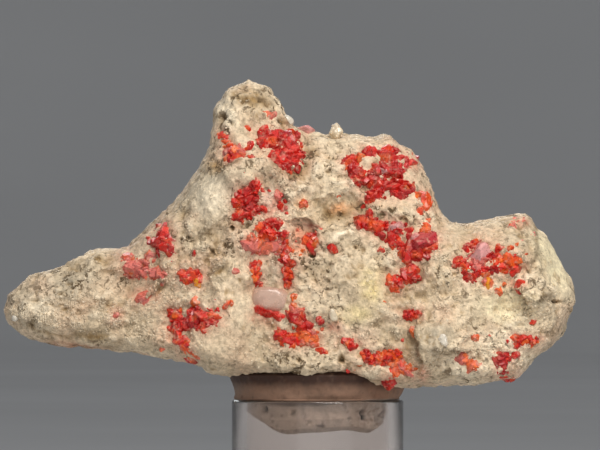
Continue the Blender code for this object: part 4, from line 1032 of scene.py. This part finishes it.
milky = tinted_finish("milky_calcite", 1.4, (0.84, 1.1), (0.16, 0.34), 1.62, 0.35)
for name, (x, z, half_x, half_z, turn, stand, power, uneven, shade) in PALE_CRYSTALS.items():
    spot, outward = face_at(x, z)
    shape = pebble_grid(half_x, stand, half_z, power)
    ripple = smooth_noise(shape + spot, 0.9, 71) + 0.6 * smooth_noise(shape + spot, 0.35, 72)
    shape = np.vstack([shape * (1 + uneven * ripple)[:, None], [[0, 0, -half_z], [0, 0, half_z]]])
    across, up = turned(shape[:, 0], shape[:, 2], 0, 0, -turn)
    centre = np.array([x, (spot + outward * 0.25 * stand)[1], z])
    points = np.column_stack([across, shape[:, 1], up]) + centre
    crystal = surface(name.replace("calcite_", "milky_"), points, closed_faces(PEBBLE_RINGS, PEBBLE_AROUND))
    set_tint(crystal, np.tile(shade, (len(points), 1)))
    settle(crystal, milky, "calcite", name)


# The red crystals. Short prisms of deep red to orange realgar, crowded into masses on the crust. Each mass
# grew together in one piece, larger crystals among many small ones, with pale powder on and round them.

DEEP_RED = linear(182, 6, 4)
SCARLET = linear(226, 30, 12)
ORANGE = linear(244, 112, 34)
AMBER = linear(255, 168, 30)
DUSTY = linear(222, 118, 106)
POWDER = linear(228, 176, 152)
# Lilac is a painted sheen: laid on crystals of tone 3, it stands for the lamps' reflection on their large
# faces.
LILAC_SHEEN = linear(228, 164, 160)
WINE = linear(188, 46, 54)

# Colours laid over deep red in turn: from which tone on each appears, and how many tones on it is full.
TONES = ((SCARLET, 0.0, 0.5), (ORANGE, 0.6, 0.6), (DUSTY, 1.3, 0.4), (AMBER, 2.1, 0.2), (LILAC_SHEEN, 2.7, 0.2),
         (WINE, 3.4, 0.2))

# Large, middling and small crystals along a limb: how far aside they lie, as a share of its width, then the
# least and greatest half width and height. Half width is a share of the limb's width in the large ones alone.
CROWD_KINDS = np.array([(0.15, 0.30, 0.44, 0.5, 0.9),
                        (0.50, 0.26, 0.54, 0.4, 1.0),
                        (0.66, 0.10, 0.26, 0.3, 1.0)])
WIDEST_HALF = 0.78
CLUSTER_SEED = 91
NET_STEP = 0.1

# How far under the crust the back of a mass lies, how far the net follows a crystal down into the crust, and
# how far under it a cell's highest corner may be.
BURIED = 0.8
DEEPEST = 0.45
HIDDEN = 0.30
CRYSTAL_SIDES = 7
NOTHING = -99.0

# The map of the crust: x and z of its corner, the side of its cells, and how many there are.
MAP_LOW = (-50.0, 24.0)
MAP_STEP = 0.4
MAP_CELLS = (230, 125)

# Large crystals standing out of their cluster: x, z, half length, half width, turn in degrees, height, tone.
# A tone of 3 gives a crystal a painted lilac sheen, a reflection painted into its colour.
PROUD = {
    "realgar_summit": ((-7.65, 62.0, 1.2, 1.05, 0, 1.0, 0.5), (-7.9, 64.2, 0.7, 0.5, 20, 0.8, 0.5),
                       (-4.6, 63.0, 1.1, 0.8, -10, 1.0, 4.0), (-3.3, 59.9, 0.8, 0.65, 15, 0.9, 0.3),
                       (-5.2, 60.3, 0.7, 0.5, 60, 0.9, 4.0), (-1.7, 63.9, 1.5, 0.45, -8, 0.9, 3.0),
                       (-6.9, 65.9, 0.75, 0.4, 65, 0.7, 1.7)),
    "realgar_spire_ember": ((-13.9, 62.8, 0.7, 0.5, 60, 0.8, 1.25),),
    "realgar_arm_spike": ((-22.6, 48.4, 1.5, 0.7, 84, 1.2, 0.5), (-22.4, 46.9, 1.2, 0.85, 60, 1.0, 0.4)),
    "realgar_arm_pebble": ((-25.8, 39.2, 1.2, 1.0, 10, 1.6, 1.6), (-25.6, 39.1, 0.9, 0.8, 70, 1.8, 1.7)),
    "realgar_lower_left": ((-16.9, 36.6, 1.7, 0.85, -8, 1.0, 0.5), (-14.9, 36.3, 0.9, 0.4, 0, 0.8, 0.8)),
    "realgar_ember": ((-19.4, 42.1, 0.85, 0.8, 20, 0.8, 0.9), (-17.8, 42.8, 0.7, 0.5, 60, 0.8, 0.3),
                      (-17.7, 41.5, 0.8, 0.5, 105, 1.3, 2.6)),
    "realgar_upper_center": ((-10.3, 54.4, 0.9, 0.7, 40, 0.9, 0.4), (-11.3, 51.5, 1.2, 0.6, 60, 0.9, 1.6)),
    "realgar_center": ((-6.0, 50.2, 0.8, 0.45, 15, 0.9, 0.3), (-5.0, 46.9, 0.9, 0.4, 80, 0.8, 1.9)),
    "realgar_bar": ((-8.5, 37.4, 1.0, 0.62, -17, 1.2, 0.4), (-7.3, 37.0, 1.3, 0.64, -17, 1.3, 0.3),
                    (-6.0, 36.6, 1.1, 0.60, -17, 1.2, 0.6)),
    "realgar_lower_center": ((-3.3, 37.1, 0.7, 0.6, -30, 0.8, 1.6), (-2.3, 35.0, 0.9, 0.75, 70, 0.9, 0.4),
                             (-0.6, 33.2, 0.8, 0.6, 20, 0.8, 1.4)),
    "realgar_shoulder": ((10.3, 60.7, 1.1, 0.95, 30, 1.1, 0.5), (9.8, 58.0, 1.1, 0.7, -15, 1.0, 3.0),
                         (13.7, 58.8, 1.3, 0.7, -8, 0.9, 0.5), (11.5, 57.3, 0.9, 0.7, 50, 1.0, 0.1),
                         (5.7, 56.6, 0.8, 0.65, 30, 0.8, 1.5), (11.0, 55.4, 1.5, 0.75, 8, 1.0, 0.3),
                         (8.0, 54.2, 1.3, 0.55, 32, 0.9, 0.4), (13.1, 55.3, 0.7, 0.5, -30, 0.8, 1.1),
                         (4.4, 59.0, 0.9, 0.6, 25, 0.8, 0.8), (6.4, 59.8, 0.5, 0.35, 30, 0.7, 1.25)),
    "realgar_shoulder_crest": ((7.7, 60.7, 0.9, 0.55, 40, 0.9, 0.5),),
    "realgar_shoulder_tail": ((16.0, 53.5, 1.3, 0.85, 78, 0.9, 0.9), (14.5, 54.0, 0.5, 0.4, 20, 0.7, 1.25)),
    "realgar_brow": ((8.8, 49.7, 1.3, 0.95, -20, 1.1, 0.5), (7.7, 51.5, 1.0, 0.35, 100, 0.8, 0.6),
                     (11.4, 49.5, 1.2, 0.7, 0, 0.9, 3.0), (13.4, 49.1, 0.8, 0.4, 0, 0.8, 0.4),
                     (15.3, 47.4, 1.9, 1.15, 20, 1.5, 4.0), (14.3, 48.0, 1.0, 0.7, 20, 1.6, 3.0),
                     (15.9, 46.2, 1.8, 0.42, 32, 1.5, 0.8)),
    "realgar_middle_right": ((13.7, 42.8, 1.2, 0.75, 50, 0.9, 0.5),),
    "realgar_east": ((24.0, 45.8, 1.9, 1.4, 62, 1.5, 3.0), (22.9, 47.0, 1.25, 0.35, 34, 0.9, 0.8),
                     (25.1, 45.3, 0.95, 0.35, 40, 1.0, 0.1), (24.9, 41.4, 1.1, 0.45, 95, 0.9, 2.5)),
    "realgar_east_sliver": ((29.6, 41.3, 1.0, 0.42, 22, 0.8, 0.7),),
    "realgar_corner": ((28.5, 27.8, 1.0, 0.9, 10, 1.0, 0.1), (27.0, 28.0, 0.7, 0.6, 40, 0.9, 0.2)),
}

# Single small crystals, most of them round the two pinkish patches in the middle: x, z, tone.
RED_SPECKS = (
    (-7.0, 54.9, 0.4), (-6.3, 54.8, 1.8), (-5.3, 54.2, 0.3), (-4.8, 53.4, 0.4), (-4.7, 52.4, 1.8),
    (-4.6, 51.6, 0.4), (-6.6, 54.1, 1.6), (-5.6, 53.2, 0.3), (-5.2, 52.1, 1.7), (-8.6, 51.4, 0.4),
    (-1.7, 48.5, 1.4), (-2.9, 49.1, 1.5), (-2.2, 46.2, 1.3), (-3.2, 47.4, 1.6), (-2.6, 45.4, 1.2),
    (-3.6, 46.0, 1.1), (-0.2, 48.9, 0.4), (3.0, 54.2, 1.0), (9.8, 38.6, 1.2), (12.6, 40.9, 0.6),
    (-28.4, 42.6, 1.6), (-24.2, 44.6, 1.6), (-26.6, 42.4, 1.7), (-21.4, 44.6, 0.4), (-14.9, 38.9, 0.5),
    (-19.6, 34.2, 0.5), (-2.0, 37.6, 0.4), (0.6, 34.6, 1.5), (27.4, 41.2, 1.2), (30.6, 45.6, 1.0),
    (25.2, 33.6, 1.6), (27.8, 32.8, 0.5), (30.0, 47.6, 1.8), (12.4, 33.0, 0.6), (6.2, 29.4, 1.2),
    (-10.8, 57.6, 0.5),
)

# Clusters that are their large crystals and nothing more.
BARE = ("realgar_arm_pebble", "realgar_bar", "realgar_east_sliver")


def softened(values):
    """Mean of each cell and its eight neighbours, the border repeated."""
    wide, high = values.shape
    padded = np.pad(values, 1, mode="edge")
    return sum(padded[i:i + wide, j:j + high] for i in range(3) for j in range(3)) / 9


def crust_map():
    """Mean height (-y) of the crusted face in square cells; empty cells take the mean around them."""
    face = (rock_front > 0.5) & (flat_grid[:, 1] < 0)
    column = ((flat_grid[face, 0] - MAP_LOW[0]) / MAP_STEP).astype(int)
    row = ((flat_grid[face, 2] - MAP_LOW[1]) / MAP_STEP).astype(int)
    total, weight = np.zeros(MAP_CELLS), np.full(MAP_CELLS, 1e-9)
    np.add.at(total, (column, row), -flat_grid[face, 1])
    np.add.at(weight, (column, row), 1)
    for _ in range(3):
        total, weight = softened(total), softened(weight)
    return total / weight


CRUST_MAP = crust_map()


def crust_height(x, z):
    """The softened height of the crust at each point, blended from the four cells around it."""
    u = np.clip((x - MAP_LOW[0]) / MAP_STEP - 0.5, 0, MAP_CELLS[0] - 2)
    v = np.clip((z - MAP_LOW[1]) / MAP_STEP - 0.5, 0, MAP_CELLS[1] - 2)
    i, j = u.astype(int), v.astype(int)
    a, b = u - i, v - j
    lower = CRUST_MAP[i, j] * (1 - a) + CRUST_MAP[i + 1, j] * a
    upper = CRUST_MAP[i, j + 1] * (1 - a) + CRUST_MAP[i + 1, j + 1] * a
    return lower * (1 - b) + upper * b


def tangent_frame(x, z):
    """A point of the crust and three unit directions there: across, up along the slope, and outwards."""
    slope_x = np.clip((crust_height(x + 0.8, z) - crust_height(x - 0.8, z)) / 1.6, -2.5, 2.5)
    slope_z = np.clip((crust_height(x, z + 0.8) - crust_height(x, z - 0.8)) / 1.6, -2.5, 2.5)
    outward = np.array([-slope_x, -1.0, -slope_z]) / math.sqrt(1 + slope_x**2 + slope_z**2)
    up = np.array([0, 0, 1.0]) - outward[2] * outward
    up /= np.linalg.norm(up)
    return np.array([x, -crust_height(x, z), z]), np.cross(up, outward), up, outward


def frame_point(frame, a, b, height):
    """Points at offsets a across, b up and height outwards from a tangent frame."""
    origin, across, up, outward = frame
    return origin + a[..., None] * across + b[..., None] * up + height[..., None] * outward


def ground_over(frame, a, b):
    """Height of the crust over a tangent plane, by six steps of Newton's method with the plane's slope."""
    height = np.zeros(a.shape)
    for _ in range(6):
        place = frame_point(frame, a, b, height)
        missing = place[..., 1] + crust_height(place[..., 0], place[..., 2])
        height = np.clip(height + missing * -frame[3][1], -3, 3)
    return height


def crowd(limb, draw):
    """A row for each crystal along a limb: x, z, half length, half width, turn, height and tone."""
    x0, z0, x1, z1, width, tone = limb
    length = math.hypot(x1 - x0, z1 - z0)
    area = (length + width) * width
    counts = np.array([max(2, round(1.6 * length / width + 1)), round(area * 1.6) + 1, round(area * 5.0) + 3])
    kind = np.repeat([0, 1, 2], counts)
    total = len(kind)
    share = np.where(kind == 0, np.linspace(0, total / counts[0], total), draw.uniform(-0.12, 1.12, total))
    reach, thin, thick, low, high = CROWD_KINDS[kind].T
    aside = draw.uniform(-1, 1, total) * reach * width
    half_width = draw.uniform(thin, thick)
    half_width = np.where(kind == 0, np.minimum(half_width * width, WIDEST_HALF), half_width)
    height = draw.uniform(low, high)
    ux, uz = (x1 - x0) / length, (z1 - z0) / length
    return np.column_stack([
        x0 + (x1 - x0) * share - uz * aside, z0 + (z1 - z0) * share + ux * aside,
        half_width * draw.uniform(1.1, 2.1, total), half_width, draw.uniform(0, 180, total), height,
        np.clip(tone + draw.normal(0, 0.3, total), max(tone - 0.35, 0), min(tone + 0.6, 2))])


def crystal_skin(frame, columns, levels, rows, draw):
    """Height of a crowd of crystals over a net, and the tone and the shade of whatever is highest.

    A crystal's height over the crust's slope at its foot is the least of a slanting crown and of seven sides,
    each falling away at its own slope from its own distance. It ends a little below its foot, and of all the
    crystals, the highest shows.
    """
    net_a, net_b = np.meshgrid(columns, levels, indexing="ij")
    height = np.full(net_a.shape, NOTHING)
    tone, shade = np.zeros(net_a.shape), np.ones(net_a.shape)
    for ca, cb, half_length, half_width, turn, crown, own_tone in rows:
        far = 1.2 * half_length + 0.7
        window = (slice(*np.searchsorted(columns, (ca - far, ca + far))),
                  slice(*np.searchsorted(levels, (cb - far, cb + far))))
        a, b = net_a[window], net_b[window]
        u, v = turned(a, b, ca, cb, turn)
        west, east, low, high, foot = ground_over(
            frame, ca + np.array([-0.5, 0.5, 0, 0, 0]), cb + np.array([0, 0, -0.5, 0.5, 0]))
        ground = foot + np.clip(east - west, -1, 1) * (a - ca) + np.clip(high - low, -1, 1) * (b - cb)
        rise = crown + draw.uniform(-0.30, 0.30) * u + draw.uniform(-0.55, 0.55) * v
        facet = np.full(a.shape, draw.uniform(0.92, 1.14))
        for side in range(CRYSTAL_SIDES):
            angle = 2 * math.pi * (side + draw.uniform(-0.28, 0.28)) / CRYSTAL_SIDES
            cu, sv = math.cos(angle), math.sin(angle)
            reach = math.hypot(half_length * cu, half_width * sv) * draw.uniform(0.86, 1.12)
            wall = (reach - u * cu - v * sv) * draw.uniform(0.7, 3.2)
            facet = np.where(wall < rise, draw.uniform(0.80, 1.08), facet)
            rise = np.minimum(rise, wall)
        total = np.where(rise > -0.6, ground + rise, NOTHING)
        shows = total > height[window]
        tone[window] = np.where(shows, own_tone, tone[window])
        shade[window] = np.where(shows, facet, shade[window])
        height[window] = np.maximum(height[window], total)
    return height, tone, shade


def tone_colour(tones):
    """Deep red, scarlet, orange and dusty pink for tones 0, 0.5, 1.2 and 1.7; amber 2.5, lilac 3, wine 4."""
    return layered(DEEP_RED, [(shade, (tones - start) / reach) for shade, start, reach in TONES])


def joined_corners(kept):
    """Fills the two empty cells wherever kept cells touch at a corner alone."""
    for _ in range(4):
        a, b, c, d = kept[:-1, :-1], kept[1:, 1:], kept[1:, :-1], kept[:-1, 1:]
        cross = (a & b & ~c & ~d) | (c & d & ~a & ~b)
        kept = kept.copy()
        for part in (kept[:-1, :-1], kept[1:, 1:], kept[1:, :-1], kept[:-1, 1:]):
            part |= cross
    return kept


def crystal_mass(rows, draw):
    """Points, faces and colours of the closed skin of a crowd of crystals, on a square net along the crust.

    Cells well under the crust are left out. A copy of the rest, pushed into the rock, closes it behind, and
    walls run round every edge.
    """
    frame = tangent_frame(rows[:, 0].mean(), rows[:, 1].mean())
    away = np.column_stack([rows[:, 0], -crust_height(rows[:, 0], rows[:, 1]), rows[:, 1]]) - frame[0]
    rows = np.column_stack([away @ frame[1], away @ frame[2], rows[:, 2:]])
    margin = 0.6 + rows[:, 2].max()
    columns = np.arange(rows[:, 0].min() - margin, rows[:, 0].max() + margin, NET_STEP)
    levels = np.arange(rows[:, 1].min() - margin, rows[:, 1].max() + margin, NET_STEP)
    a, b = np.meshgrid(columns, levels, indexing="ij")
    height, tone, shade = crystal_skin(frame, columns, levels, rows, draw)
    crust = ground_over(frame, a, b)
    height = np.maximum(height, crust - DEEPEST)
    over = height - crust
    corners = np.maximum(np.maximum(over[:-1, :-1], over[1:, :-1]), np.maximum(over[:-1, 1:], over[1:, 1:]))
    kept = joined_corners(np.pad(corners[1:-1, 1:-1] > -HIDDEN, 1))
    count = a.size
    number = np.arange(count).reshape(a.shape)
    i, j = np.nonzero(kept)
    p, q, r, t = number[i, j], number[i + 1, j], number[i + 1, j + 1], number[i, j + 1]
    faces = [np.stack([p, q, r, t], -1), np.stack([t, r, q, p], -1) + count]
    for start, finish, step_i, step_j in ((p, q, 0, -1), (q, r, 1, 0), (r, t, 0, 1), (t, p, -1, 0)):
        edge = ~kept[i + step_i, j + step_j]
        faces.append(np.stack([finish, start, start + count, finish + count], -1)[edge])
    used, faces = np.unique(np.vstack(faces), return_inverse=True)
    points = np.vstack([frame_point(frame, a, b, height).reshape(-1, 3),
                        frame_point(frame, a, b, crust - BURIED).reshape(-1, 3)])
    fall_a, fall_b = np.gradient(-height, NET_STEP)
    lean = (fall_a * frame[1][2] + fall_b * frame[2][2] + frame[3][2]) / np.sqrt(1 + fall_a**2 + fall_b**2)
    tone, shade, over, lean = (values.ravel() for values in (tone, shade, over, lean))
    front = points[:count]
    mottle = smooth_noise(front, 0.7, 91) + 0.5 * smooth_noise(front, 0.3, 92)
    amber = smooth_noise(front, 1.3, 93)
    near_crust = np.exp(-np.clip(over, 0, 3) / 0.4)
    powder = smooth_noise(front, 0.5, 94) + 0.6 * smooth_noise(front, 0.24, 95) - 0.42 + 0.42 * near_crust
    plain = tone > 2.3
    colour = layered(tone_colour(tone) * shade[:, None], (
        # Up-facing facets turn dusty pink: partly dust, partly a painted sheen of the overhead light.
        (DUSTY, 0.32 * np.clip((lean - 0.25) / 0.6, 0, 1)),
        (DUSTY, np.where(plain, 0, 0.7 * np.clip(mottle - 0.55, 0, 1))),
        (ORANGE, np.where(plain, 0, 0.9 * np.clip(amber - 0.35, 0, 1))),
        # Painted shade: darker deep red where the crystals meet the crust.
        (DEEP_RED * 0.7, 0.5 * np.clip(0.3 - over, 0, 0.6)),
        (POWDER, (0.5 + 0.35 * np.clip(tone, 0, 1)) * np.clip(powder, 0, 1))))
    return points[used], faces.reshape(-1, 4), np.tile(colour, (2, 1))[used]


def joined(name, groups, draw):
    """One object from the skins of several groups of crystals, each on a net of its own."""
    points, faces, colours, start = [], [], [], 0
    for group in groups:
        own_points, own_faces, own_colours = crystal_mass(group, draw)
        points.append(own_points)
        faces.append(own_faces + start)
        colours.append(own_colours)
        start += len(own_points)
    made = surface(name, np.vstack(points), np.vstack(faces).tolist(), smooth=False)
    set_tint(made, np.vstack(colours))
    return made


red = tinted_finish("realgar", 0.6, (0.62, 1.28), (0.14, 0.52), 1.52, 0.12, relief=0.08)
for number, (name, limbs) in enumerate(RED_CLUSTERS.items()):
    draw = np.random.RandomState(CLUSTER_SEED + number)
    if name in BARE:
        groups = [np.array(PROUD[name])]
    else:
        groups = [crowd(limb, draw) for limb in limbs] + [np.array([large]) for large in PROUD.get(name, ())]
    settle(joined(name.replace("realgar_", "red_"), groups, draw), red, "realgar", name)

draw = np.random.RandomState(CLUSTER_SEED - 1)
groups = [crowd((x - 0.3 * width, z, x + 0.3 * width, z, 0.6 * width, tone), draw)
          for x, z, width, tone in RED_STRAYS]
groups.append(crowd((21.1, 30.3, 23.5, 28.6, 1.2, 1.6), draw))
groups += [np.array([(x, z, 0.32, 0.2, draw.uniform(0, 180), 0.45, tone)]) for x, z, tone in RED_SPECKS]
settle(joined("red_strays", groups, draw), red, "realgar")


# The stage. A plain pale floor that sweeps up behind, three soft lamps and the camera, level with the middle
# of the rock. None of it is part of the object.

VIEW_CENTRE = Vector((-2.60, 0, 49.88)) * MM
VIEW_DISTANCE = 1200 * MM
VIEW_LENS = 486.3
SWEEP_HALF = 1800.0
SWEEP_FRONT = -2400.0
SWEEP_FLAT = 4300.0
SWEEP_RADIUS = 500.0
SWEEP_WALL = 1500.0
SWEEP_COLUMNS = 3
SWEEP_ROWS = 60


def sweep_finish():
    """Plain matt card, with a faint mottling."""
    made, tree, shader = new_finish("sweep_card")
    cloud = solid_noise(tree, Scale=6.0, Detail=2.0)
    feed(tree, shader, Base_Color=ranged(tree, cloud, (0, 1), (0.54, 0.64)), Roughness=0.9)
    return made


def sweep_grid(columns, rows):
    """A sheet over x and a path: flat from the front, a quarter turn behind, then upright."""
    path = np.linspace(0, 1, rows)[None, :]
    x = np.linspace(-SWEEP_HALF, SWEEP_HALF, columns)[:, None]
    arc = SWEEP_RADIUS * math.pi / 2
    along = path * (SWEEP_FLAT + arc + SWEEP_WALL)
    turn = np.clip((along - SWEEP_FLAT) / SWEEP_RADIUS, 0, math.pi / 2)
    y = SWEEP_FRONT + np.minimum(along, SWEEP_FLAT) + SWEEP_RADIUS * np.sin(turn)
    z = SWEEP_RADIUS * (1 - np.cos(turn)) + np.maximum(along - SWEEP_FLAT - arc, 0)
    return np.stack([x + 0 * y, y + 0 * x, z + 0 * x], -1)


sheet = sweep_grid(SWEEP_COLUMNS, SWEEP_ROWS)
i, j = np.meshgrid(np.arange(SWEEP_COLUMNS - 1), np.arange(SWEEP_ROWS - 1), indexing="ij")
near, far = i * SWEEP_ROWS + j, (i + 1) * SWEEP_ROWS + j
sheet_faces = np.stack([near, far, far + 1, near + 1], -1).reshape(-1, 4)
floor = surface("studio_sweep", sheet.reshape(-1, 3), sheet_faces.tolist())
floor.data.materials.append(sweep_finish())


def lamp(name, place, target, size, power, colour, spread=180):
    """A square soft lamp at place, turned to face target; spread is the full angle of its light."""
    data = bpy.data.lights.new(name, "AREA")
    data.shape = "SQUARE"
    data.size = size * MM
    data.energy = power
    data.color = colour
    data.spread = math.radians(spread)
    made = bpy.data.objects.new(name, data)
    made.location = Vector(place) * MM
    made.rotation_euler = (Vector(target) - Vector(place)).to_track_quat("-Z", "Y").to_euler()
    bpy.context.scene.collection.objects.link(made)


lamp("overhead_lamp", (70, -190, 280), (0, 0, 45), 160, 0.80, (1.0, 0.975, 0.93))
lamp("front_fill", (70, -430, 0), (5, 0, 42), 640, 1.04, (1.0, 0.98, 0.95))
lamp("back_fill", (-60, 420, 230), (0, 0, 50), 240, 0.16, (0.96, 0.98, 1.0), 90)
world = bpy.data.worlds.new("studio")
world.use_nodes = True
world.node_tree.nodes["Background"].inputs["Color"].default_value = (0.90, 0.92, 0.95, 1)
world.node_tree.nodes["Background"].inputs["Strength"].default_value = 0.33
bpy.context.scene.world = world
bpy.context.scene.view_settings.view_transform = "Standard"

camera_data = bpy.data.cameras.new("camera")
camera_data.lens = VIEW_LENS
camera_data.sensor_width = 36.0
camera_data.clip_start = 0.01
camera = bpy.data.objects.new("camera", camera_data)
camera.location = VIEW_CENTRE + Vector((0, -VIEW_DISTANCE, 0))
camera.rotation_euler = (math.pi / 2, 0, 0)
bpy.context.scene.collection.objects.link(camera)
bpy.context.scene.camera = camera
